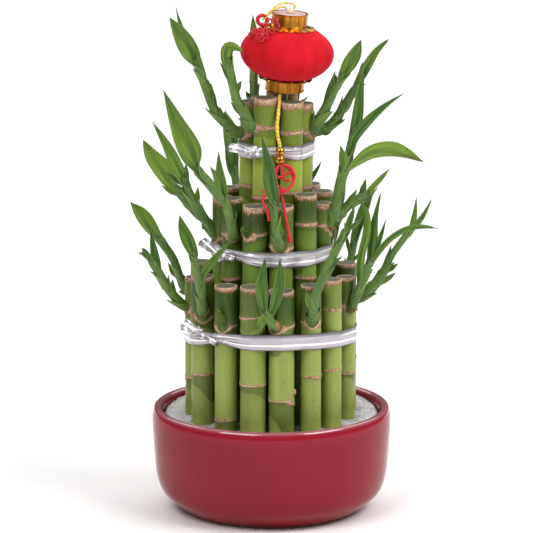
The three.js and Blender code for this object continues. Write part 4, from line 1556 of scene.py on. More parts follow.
        def face_at(v: float) -> Vector:
            """Gives the way that the open blade looks."""
            along = line.heading(v)
            across = Vector(leaf.facing).cross(along).normalized()
            return along.cross(Matrix.Rotation(math.radians(leaf.turn), 3, along) @ across)

        def inward_at(v: float) -> Vector:
            """Gives the way back to the stem, square to the leaf."""
            along = line.heading(v)
            return -(outward - along * outward.dot(along)).normalized()

        opening = before / stretches
        upper = -1 if face_at(opening).dot(inward_at(opening)) < 0 else 1

        def place(u: float, v: float) -> Vector:
            """Puts a corner on the leaf's upper face.

            Args:
                u: Share of the way across.
                v: Share of the way along.

            Returns:
                The place.
            """
            t = blade_share(v)
            middle = line.at(v)
            along = line.heading(v)
            face = face_at(v) * upper
            inward = inward_at(v)
            swing = math.atan2(face.cross(inward).dot(along), face.dot(inward))
            face = Matrix.Rotation(swing * (1 - eased(t, -0.3, 0.34)), 3, along) @ face
            across = along.cross(face)
            opened = eased(t, -0.32, 0.28)
            narrow = math.sin(math.pi * (0.12 + 0.88 * min(max(t, 0), 1)) ** leaf.belly)
            blade_half = leaf.width / 2 * max(narrow, 0.0)
            half = mixed(wrap * around_stem, blade_half, opened)
            curl = mixed(wrap, blade_curl, opened)
            side = 2 * u - 1
            wide = half / curl
            wave = 0.25 * opened * math.sin(9 * t + waver) * side * side
            fold = 0.12 * half * opened * abs(side)
            return (
                middle - face * around_stem * (1 - opened)
                + across * wide * math.sin(curl * side)
                + face * (wide * (1 - math.cos(curl * side)) + wave + fold)
            )

        rows = max(18, round(line.length() / 1.5))
        faces = sheet(
            bm, 8, rows, place,
            lambda u, v: {"tone": tone, "clasp": 1 - eased(blade_share(v), -0.2, 0.2)}, skin=2,
        )
        thicken(bm, faces, self.leaf_thickness)

    def leafy_stem(self, number: int) -> None:
        """Builds one cane with everything that grew on it.

        Args:
            number: The cane's place in the ring.
        """
        shoots = [shoot for shoot in self.shoots if shoot.cane == number]
        if number in self.growth.on:
            shoots.append(self.back_shoot(number))
        bm = new_mesh("gap", "breadth", "under", "reach", "bloom_and_highlight", "edge", "tone", "clasp")
        draw = random.Random(97 * number + len(self.name))
        self.skin_of_cane(bm, number, shoots)
        for shoot in shoots:
            stem, radius_at = self.stem_of(bm, number, shoot, draw.uniform(0.2, 0.7))
            self.sheaths_of(bm, stem, radius_at, draw)
            for leaf in shoot.leaves:
                tone = leaf.tone + draw.uniform(-0.2, 0.2)
                self.leaf_of(bm, leaf, stem, radius_at, tone, draw.uniform(0, 6))
        node = f"cane_{self.name}_{number + 1:02d}"
        skins = [self.skin, Skin.SAWN, Skin.LEAF, Skin.DRY]
        finished(bm, f"{node}_leafy", f"cane_{self.name}", skins, node, crease=60)

    # The ribbon

    def hull(self) -> list[Vector]:
        """Gives the outline of a band drawn tight round the canes, without height.

        Returns:
            Its corners.
        """
        samples = 36
        rim = []
        for number, cane in enumerate(self.canes):
            middle = self.axis(number, self.ribbon.height)
            for i in range(samples):
                rim.append(middle + level_direction(2 * math.pi * i / samples) * cane.radius)
        corners = [rim[i] for i in geometry.convex_hull_2d([place.xy for place in rim])]
        return [Vector((corner.x, corner.y, 0)) for corner in corners]

    def band(self, bm: bmesh.types.BMesh) -> None:
        """Adds the band with its lengthwise folds, drawn in towards the knot.

        Args:
            bm: The mesh that gets it.
        """
        corners = self.hull()
        sides = [(q - p).length for p, q in zip(corners, corners[1:] + corners[:1])]
        around = sum(sides)
        steps = 400
        outline = []
        for step in range(steps):
            rest = around * step / steps
            number = 0
            while rest > sides[number]:
                rest -= sides[number]
                number += 1
            a, b = corners[number], corners[(number + 1) % len(corners)]
            outline.append(a.lerp(b, rest / sides[number]))
        knot = Vector(self.ribbon.neck[-1])

        def place(u: float, v: float) -> Vector:
            """Puts a corner on the foil.

            Args:
                u: Share of the way round.
                v: Share of the way up.

            Returns:
                The place.
            """
            step = round(u * steps) % steps
            spot = outline[step]
            before, after = outline[step - 3], outline[(step + 3) % steps]
            out = Vector((after.y - before.y, before.x - after.x, 0)).normalized()
            if out.dot(spot) < 0:
                out.negate()
            near = hump((spot - Vector((knot.x, knot.y, 0))).length, 11)
            side = 2 * v - 1
            drift = 0.5 * noise.noise(spot / 14)
            pleat = 0.05 * math.sin(6 * side + 4 * drift) + 0.2 * near * math.sin(13 * side + 5 * drift)
            crinkle = 0.16 * noise.noise(Vector((spot.x / 9, spot.y / 9, side * 0.6)))
            bulge = 0.75 * (1 - side * side) - 0.22 * hump(side, 0.3)
            off = max(GAP + 0.02, GAP + 0.12 + bulge + pleat + crinkle)
            half = self.foil_width / 2 * (1 - 0.35 * near) + 0.25 * noise.noise(spot / 9 + Vector((0, 0, 5)))
            sloped = self.ribbon.height - self.ribbon.slant * spot.y
            return spot + out * off + Vector((0, 0, sloped + half * side + 1.2 * near))

        thicken(bm, sheet(bm, steps, 18, place), self.foil_thickness)

    def knot(self, bm: bmesh.types.BMesh) -> None:
        """Adds the twisted neck, the crumpled knot and the pleated tail.

        Args:
            bm: The mesh that gets them.
        """
        middle = Vector(self.ribbon.neck[0])
        neck = Line(self.ribbon.neck)

        def twisted(angle: float, v: float) -> float:
            """Gives the lobed radius of the neck."""
            lobes = 1 + 0.16 * math.cos(4 * angle + 3 * v) + 0.1 * math.cos(3 * angle - 4 * v)
            return mixed(*self.neck_radii, v) * lobes

        tube(bm, neck, 26, 40, twisted)
        lump = bmesh.ops.create_icosphere(bm, subdivisions=4, radius=1, calc_uvs=True)
        for corner in lump["verts"]:
            way = corner.co.copy()
            crease = abs(noise.noise(way * 1.5 + middle)) + 0.15 * abs(noise.noise(way * 3.6 + middle))
            reach = self.knot_radius + 1.9 * crease
            corner.co = middle + Vector((way.x, way.y * 0.85, way.z)) * reach
        tail = Line(self.ribbon.tail)

        def flared(u: float, v: float) -> Vector:
            """Puts a corner on the fanned tail.

            Args:
                u: Share of the way across.
                v: Share of the way along.

            Returns:
                The place.
            """
            along = tail.heading(v)
            across = TOWARDS_VIEWER.cross(along).normalized()
            face = along.cross(across)
            side = 2 * u - 1
            half = mixed(0.9, self.ribbon.spread / 2, eased(v, 0, 0.9))
            pleat = 0.3 * math.sin(5 * side + 1.5 * v) + 0.4 * v * side
            jag = 0.5 * v * math.sin(3 * side + 1)
            return tail.at(v) + across * half * side + face * pleat + along * jag

        thicken(bm, sheet(bm, 28, 26, flared), self.foil_thickness)

    def tie(self) -> None:
        """Builds the foil ribbon."""
        bm = new_mesh()
        self.band(bm)
        self.knot(bm)
        node = f"tie_{self.name}"
        finished(bm, f"{node}_foil", "foil", [Skin.FOIL], node, crease=38)

    def build(self) -> None:
        """Builds the ring of canes and its ribbon."""
        for number in range(len(self.canes)):
            self.leafy_stem(number)
        self.tie()


# The lantern and its beads


@dataclass
class Lantern:
    """Small flocked lantern between gilt caps, leaning a little to the right."""

    foot: Point = (6.5, -1, 216.45)
    lean: float = 4
    low_cap_height: float = 6
    top_cap_height: float = 6.9
    low_cap_radius: float = 9.9
    top_cap_radius: float = 9.3
    body_radius: float = 23.5
    half_height: float = 14.6
    end_radius: float = 10.5
    ribs: int = 16
    disc_sink: float = 0.3
    disc_thickness: float = 0.8
    knob_radius: float = 1.95
    knob_rise: float = 0.8
    trim_radius: float = 12.1
    trim_scallop: float = 1.5
    trim_thickness: float = 0.45
    flowers: tuple[tuple[float, float, float, float], ...] = (
        (-33, 14, 4.6, 45), (-68, 18.5, 3.2, 12), (-41, 18.8, 4.2, 20),
    )

    def rise(self, radius: float) -> float:
        """Gives the height of the body's shell above its middle at a radius."""
        return self.half_height * math.sqrt(1 - (radius / self.body_radius) ** 2)

    @property
    def start(self) -> float:
        """Height of the body's lower end."""
        return self.low_cap_height + GAP

    @property
    def middle(self) -> float:
        """Height of the body's middle."""
        return self.start + self.rise(self.end_radius)

    @property
    def stop(self) -> float:
        """Height of the body's upper end."""
        return self.middle + self.rise(self.end_radius)

    def stand(self, bm: bmesh.types.BMesh) -> None:
        """Leans a mesh and sets it on the cane tops."""
        place = Matrix.Translation(self.foot) @ Matrix.Rotation(math.radians(self.lean), 4, "Y")
        bmesh.ops.transform(bm, matrix=place, verts=bm.verts)

    def body(self) -> None:
        """Builds the flocked shell with its faint upright ribs."""
        bm = new_mesh()
        widest = math.acos(self.end_radius / self.body_radius)
        rows = 56

        def place(u: float, v: float) -> Vector:
            """Puts a corner on the shell or its flat ends.

            Args:
                u: Share of the way round.
                v: Share of the way up.

            Returns:
                The place.
            """
            row = round(v * rows)
            angle = 2 * math.pi * u
            if row in (0, rows):
                return Vector((0, 0, self.start if row == 0 else self.stop))
            tilt = widest * (2 * (row - 1) / (rows - 2) - 1)
            rib = 1 + 0.006 * math.cos(self.ribs * angle) * math.cos(tilt)
            dent = 0.15 * noise.noise(around_axis(angle, 1, tilt) * 1.6)
            radius = self.body_radius * math.cos(tilt) * rib + dent
            height = self.middle + self.half_height * math.sin(tilt)
            return around_axis(angle, radius, height)

        sheet(bm, 192, rows, place)
        self.stand(bm)
        finished(bm, "lantern_shell", "velvet", [Skin.VELVET], "lantern_body", crease=50)

    def lathe(
        self, name: str, node: str, profile: list[tuple[float, float]], skin: Skin, slot: str
    ) -> None:
        """Builds one turned piece of the lantern.

        Args:
            name: The piece's name.
            node: The solid that it stands for.
            profile: Its outline.
            skin: Its finish.
            slot: The record's finish.
        """
        bm = turned(profile, 72)
        self.stand(bm)
        finished(bm, name, slot, [skin], node, crease=35)

    def caps(self) -> None:
        """Builds both caps and the knob."""
        wide, top = self.low_cap_radius, self.low_cap_height
        waist = wide - 0.25
        self.lathe("cap_bottom_gilt", "lantern_cap_bottom", [
            (0, 0), (wide - 0.3, 0), (wide, 0.25), (wide, 0.8), (wide - 0.25, 1.1), (waist, 1.4),
            (waist - 0.05, 3.2), (waist, top - 1.2), (wide - 0.25, top - 0.9), (wide, top - 0.6),
            (wide, top - 0.2), (wide - 0.2, top), (0, top),
        ], Skin.GILT, "gilt")
        wide, top = self.top_cap_radius, self.top_cap_height
        waist, well = wide - 0.25, wide - 0.7
        ledge, bottom = top - self.disc_sink - self.disc_thickness - GAP, top - 3
        outline = [
            (0, 0), (wide - 0.3, 0), (wide, 0.25), (wide, 0.6), (wide - 0.25, 0.9), (waist, 1.2),
            (waist - 0.05, 3.2), (waist, top - 0.9), (wide - 0.2, top - 0.7), (wide, top - 0.5),
            (wide, top - 0.15), (wide - 0.15, top), (well, top), (well, ledge), (well - 1.8, ledge),
            (well - 1.8, bottom), (0, bottom),
        ]
        base = self.stop + GAP
        raised = [(radius, height + base) for radius, height in outline]
        self.lathe("cap_top_gilt", "lantern_cap_top", raised, Skin.GILT, "gilt")
        ball, steps = self.knob_radius, 20
        middle = base + top - self.disc_sink + self.knob_rise
        bead = [
            (ball * math.sin(math.pi * i / steps), middle - ball * math.cos(math.pi * i / steps))
            for i in range(steps + 1)
        ]
        self.lathe("knob_cream", "lantern_knob", bead, Skin.CREAM, "knob")

    def trim(self, name: str, node: str, hole: float, way: int) -> None:
        """Builds one gilt collar with rounded scallops.

        Args:
            name: The piece's name.
            node: The solid that it stands for.
            hole: The collar's inner radius.
            way: 1 for the upper collar, -1 for the lower.
        """
        bm = new_mesh()
        base = self.rise(self.end_radius) + 2 * GAP

        def place(u: float, v: float) -> Vector:
            """Puts a corner on the collar."""
            angle = 2 * math.pi * u
            lobe = abs(math.cos(self.ribs / 2 * angle)) ** 0.6
            reach = self.trim_radius + self.trim_scallop * lobe
            radius = mixed(hole, reach, v)
            wave = 0.22 * v * math.cos(self.ribs * angle)
            height = base + 0.15 + wave - 0.3 * (radius - hole)
            return around_axis(angle, radius, self.middle + way * height)

        thicken(bm, sheet(bm, 256, 6, place), self.trim_thickness)
        self.stand(bm)
        finished(bm, name, "gilt", [Skin.GILT], node, crease=40)

    def flower(self, number: int, bearing: float, away: float, reach: float, tilt: float) -> None:
        """Builds one plastic flower on the lantern's shoulder.

        Args:
            number: Which flower, from 1.
            bearing: Degrees round the lantern, 0 towards the viewer.
            away: Distance from the lantern's middle line.
            reach: The flower's radius.
            tilt: Degrees that it is tipped up from the shoulder.
        """
        bm = new_mesh()
        petal, wire, rings = 0.34 * reach, 0.11 * reach, 5
        for ring in range(rings):
            way = Matrix.Rotation(2 * math.pi * ring / rings, 3, "Z")

            def place(u: float, v: float) -> Vector:
                """Puts a corner on one ring-shaped petal."""
                around, about = 2 * math.pi * u, 2 * math.pi * v
                radius = petal + wire * math.cos(about)
                outwards = reach - petal - wire + radius * math.cos(around)
                up = 0.25 + 0.7 * wire * math.sin(about)
                return way @ Vector((outwards, radius * math.sin(around), up))

            sheet(bm, 24, 10, place)
        heart = bmesh.ops.create_icosphere(bm, subdivisions=3, radius=0.3 * reach)
        for corner in heart["verts"]:
            corner.co.z = corner.co.z * 0.5 + 0.3
        for face in {face for corner in heart["verts"] for face in corner.link_faces}:
            face.material_index = 1
        height = self.rise(away)
        steep = math.atan2(away / self.body_radius**2, height / self.half_height**2)
        tipped = math.radians(tilt)
        lift = GAP + 0.6 * math.cos(tipped) + reach * math.sin(tipped)
        spot = Vector((0, -away - lift * math.sin(steep), self.middle + height + lift * math.cos(steep)))
        turn = Matrix.Rotation(math.radians(bearing), 4, "Z")
        tip = Matrix.Rotation(steep + tipped, 4, "X")
        bmesh.ops.transform(bm, matrix=turn @ Matrix.Translation(spot) @ tip, verts=bm.verts)
        self.stand(bm)
        skins = [Skin.RED_BEAD, Skin.GILT if number == 1 else Skin.RED_BEAD]
        finished(bm, f"flower_{number}_petals", "red_bead", skins, f"bead_flower_{number}", crease=60)

    def build(self) -> None:
        """Builds the whole lantern; the slotted plate stays as the solid has it."""
        self.body()
        self.caps()
        self.trim("trim_bottom_gilt", "lantern_trim_bottom", self.low_cap_radius + GAP, -1)
        self.trim("trim_top_gilt", "lantern_trim_top", self.top_cap_radius + GAP, 1)
        for number, (bearing, away, reach, tilt) in enumerate(self.flowers, start=1):
            self.flower(number, bearing, away, reach, tilt)
        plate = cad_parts["lantern_cap_disc"]
        plate.data.materials.clear()
        plate.data.materials.append(dressed(Skin.PLATE.value))


@dataclass
class Beads:
    """The ring on the hanging loop and the gilt gourd on the drop cord."""

    ring_middle: Point = (-4.6, -6, 253.1)
    ring_radius: float = 2.4
    ring_wire: float = 1
    knot: Point = (-0.7, -5.8, 256.9)
    gourd: tuple[float, float] = (4.25, -21.8)
    low: float = 184.9
    high: float = 189.3
    ball: float = 2.35
    socket: float = 1.45
    bow_knot: Point = (-2.8, -28.6, 170.4)
    bow_radius: float = 0.78
    bow_strands: tuple[tuple[Point, ...], ...] = (
        ((4.4, -22.2, 183), (2.2, -23.2, 180), (1.4, -24, 176), (3.2, -25.6, 172.4), (5.8, -26.6, 170.8)),
        (
            (5.4, -22.4, 182.8), (9.4, -23.4, 181.4), (11.6, -24.4, 177.4), (10.2, -25.8, 173),
            (6.4, -27.2, 170.4), (2.6, -28, 170.6),
        ),
        ((4.8, -22.6, 182.6), (5.4, -23.8, 178.4), (6.6, -24.6, 175.2), (9.6, -24.8, 175.4)),
        ((2, -24.4, 177.4), (4.8, -24.6, 176.4), (7.8, -24.2, 178.6), (10.4, -24, 178.6)),
    )

    def ring(self) -> None:
        """Builds the clear red ring, which faces the viewer."""
        bm = new_mesh()

        def place(u: float, v: float) -> Vector:
            """Puts a corner on the ring."""
            around, about = 2 * math.pi * u, 2 * math.pi * v
            radius = self.ring_radius + self.ring_wire * math.cos(about)
            side = self.ring_wire * math.sin(about)
            off = Vector((radius * math.cos(around), side, radius * math.sin(around)))
            return Vector(self.ring_middle) + off

        sheet(bm, 40, 20, place)
        finished(bm, "ring_clear", "red_bead", [Skin.RED_BEAD], "bead_ring")

    def gourd_bead(self) -> None:
        """Builds the two-balled gourd with its socket for the cord."""
        neck = 0.9
        mouth = self.high - 0.7
        sweep = [math.pi * i / 16 for i in range(17)]
        lower = [(self.ball * math.sin(a), self.low - self.ball * math.cos(a)) for a in sweep]
        upper = [(self.ball * math.sin(a), self.high - self.ball * math.cos(a)) for a in sweep]
        profile = [spot for spot in lower if spot[0] > neck or spot[1] < self.low]
        profile += [spot for spot in upper if spot[0] > (self.socket if spot[1] > self.high else neck)]
        crown = self.high + math.sqrt(self.ball**2 - self.socket**2)
        profile += [(self.socket, crown), (self.socket, mouth), (0, mouth)]
        bm = turned(profile, 48)
        bmesh.ops.translate(bm, vec=(*self.gourd, 0), verts=bm.verts)
        finished(bm, "gourd_gilt", "gilt", [Skin.GILT], "bead_gourd", crease=50)

    def loop_knot(self) -> None:
        """Builds the overhand knot that draws the two strands of the loop together."""
        bm = new_mesh()

        def place(u: float, v: float) -> Vector:
            """Puts a corner on the wound thread."""
            around, up = 2 * math.pi * u, math.pi * v
            turn = 1 + 0.16 * math.cos(2 * around + 6 * math.pi * v)
            wide = 1.15 * math.sin(up) * turn
            return Vector(self.knot) + Vector((
                wide * math.cos(around) - 0.5 * math.cos(up), 1.9 * math.sin(up) * math.sin(around) * turn,
                wide * 0.4 * math.cos(around) - 1.25 * math.cos(up),
            ))

        sheet(bm, 36, 24, place)
        finished(bm, "loop_knot", "gold_thread", [Skin.GOLD_THREAD])

    def bow(self) -> None:
        """Builds the short strands that fill the red bow, and the small knot at its left."""
        bm = new_mesh()
        for strand in self.bow_strands:
            line = Line(strand)
            rows = round(line.length() / 0.5)

            def radius(angle: float, v: float) -> float:
                """Gives the ridged radius of the strand."""
                return self.bow_radius * (0.9 + 0.1 * math.cos(3 * angle + 0.9 * rows * v))

            tube(bm, line, rows, 12, radius)
        knot = bmesh.ops.create_icosphere(bm, subdivisions=3, radius=1, calc_uvs=True)
        for corner in knot["verts"]:
            way = corner.co.copy()
            reach = 1 + 0.35 * noise.noise(way * 1.8)
            corner.co = Vector(self.bow_knot) + Vector((way.x * 1.7, way.y * 0.9, way.z * 1.15)) * reach
        finished(bm, "string_bow", "red_thread", [Skin.RED_THREAD])

    def build(self) -> None:
        """Builds the ring, the knot beside it, the gourd and the bow below it."""
        self.ring()
        self.loop_knot()
        self.gourd_bead()
        self.bow()


# What grows where

CORDS = [
    Cord("cord_loop", "gold_thread", Skin.GOLD_THREAD, 1.0, [
        (10.95, -1, 257.9), (11.8, -1.1, 258.9), (11.3, -1.3, 260.1), (9.4, -1.7, 260.9),
        (6.9, -2.3, 261.1), (4.2, -3.2, 260.7), (1.8, -4.6, 259.6), (0.2, -6, 258.2), (-0.9, -7.1, 256.8),
        (-1.9, -8, 255.5), (-3, -7.9, 254.4), (-4.1, -6.7, 253.5), (-4.1, -5.3, 253.5),
        (-3, -4, 254.4), (-1.9, -4, 255.5), (-0.8, -4.6, 256.6), (0.6, -4.6, 257.6), (2.6, -3.4, 258.5),
        (4.9, -2.1, 259.1), (6.6, -1.4, 258.9), (7.74, -1, 258),
    ], "object", ("ring_clear", "loop_knot"), lay=2.6),
    Cord("cord_drop", "gold_thread", Skin.GOLD_THREAD, 2.0, [
        (4.2, -9.4, 216.0), (4, -10.4, 213.8), (3.8, -13, 211), (3.4, -15.8, 207.6), (3, -18, 203.4),
        (2.9, -20, 198.8), (3.6, -21.4, 194.8), (4.2, -21.8, 191.8), (4.25, -21.8, 189),
    ], "fitting", ("gourd_gilt",), lay=6.0),
    Cord("string_right", "red_thread", Skin.RED_THREAD, 1.4, [
        (4, -21.8, 182.2), (2.9, -22.2, 179.4), (2, -22.8, 176.2), (2.4, -23.8, 172.8), (4, -25.2, 169.8),
        (5.2, -27.4, 167), (5.9, -30, 164.8), (6.5, -32, 161.6), (7.2, -32.6, 157.6), (8, -32.6, 153),
        (8.8, -32.2, 148.4), (9.5, -31.8, 143.8),
    ], "bare", (), lay=3.5, frayed=0.4),
    Cord("string_left", "red_thread", Skin.RED_THREAD, 1.4, [
        (5.9, -21.9, 182.6), (8.6, -22.6, 180.4), (10.6, -23.6, 177), (10.4, -25, 173.4), (8, -26.6, 170.6),
        (4.4, -27.8, 169), (0.6, -28.4, 168.8), (-2.6, -28.4, 168.4), (-4.4, -28.6, 166), (-3.6, -29, 163.2),
        (-2, -28.8, 160.4), (-1.5, -28.6, 157.4), (-1, -28.4, 154.8),
    ], "bare", ("string_bow",), lay=3.5, frayed=0.3),
]


CANES: dict[str, list[Cane]] = {
    "lower": [
        Cane(-90, 5.6, 120.2, [67.9, 104.7], crown=0.62),
        Cane(-64.5, 5.9, 124.4, [74, 104.2], crown=0.9, tone=0.8),
        Cane(-36.5, 5.8, 122.5, [54, 102.5]),
        Cane(-14, 6.6, 123.5, [73.8, 108.5], crown=0.76),
        Cane(7.5, 6.5, 121.7, [66.2, 104], crown=0.92, shade_below_joints=1.4),
        Cane(31, 5.3, 123.3, [77, 105.1], crown=0.78, shade_below_joints=0.1),
        Cane(52, 5.2, 124.2, [78, 109.7], crown=0.42, shade_below_joints=0.0, tone=0.35),
        Cane(78, 4.8, 122, [72.6, 107.9], crown=0.88, shade_below_joints=0.5, tone=0.45),
        Cane(100, 5.5, 126, [77.3, 106]),
        Cane(121, 5.6, 122.8, [70, 103]),
        Cane(142.5, 6, 124.5, [64, 106]),
        Cane(164, 5.7, 121.6, [75, 102]),
        Cane(185, 6.1, 125, [68, 107]),
        Cane(206.5, 5.6, 123.2, [79, 104]),
        Cane(228, 5.9, 122.2, [66, 105]),
        Cane(249, 5.4, 125.4, [72, 106]),
    ],
    "middle": [
        Cane(-90, 5.3, 161.7, [115, 140.5]),
        Cane(-54, 5.2, 164, [123.6, 145.9], crown=0.85),
        Cane(-21, 6.2, 161.9, [112, 148.4], crown=0.95),
        Cane(9.5, 6.1, 162.3, [110, 141.5]),
        Cane(39.5, 5.7, 167, [124.7, 152.2], crown=0.88),
        Cane(72, 5.2, 160.2, [118, 148.8]),
        Cane(103, 5.4, 163.5, [113, 147.8]),
        Cane(133, 5.6, 165, [146]),
        Cane(161, 5.5, 162.5, [143]),
        Cane(189, 5.8, 166, [147]),
        Cane(217, 5.3, 163, [144]),
        Cane(244, 5.4, 164.5, [143]),
    ],
    "upper": [
        Cane(-90, 5.5, 211, [167.4, 194.8]),
        Cane(-27, 5.8, 214.7, [164, 200], crown=0.62),
        Cane(36, 5.7, 212.3, [166.7, 197.3], crown=0.58),
        Cane(96, 5.6, 209.6, [167.1, 195]),
        Cane(156, 5.5, 213, [194]),
        Cane(216, 5.6, 210.8, [197]),
        Cane(0, 5.6, 216, []),
    ],
}

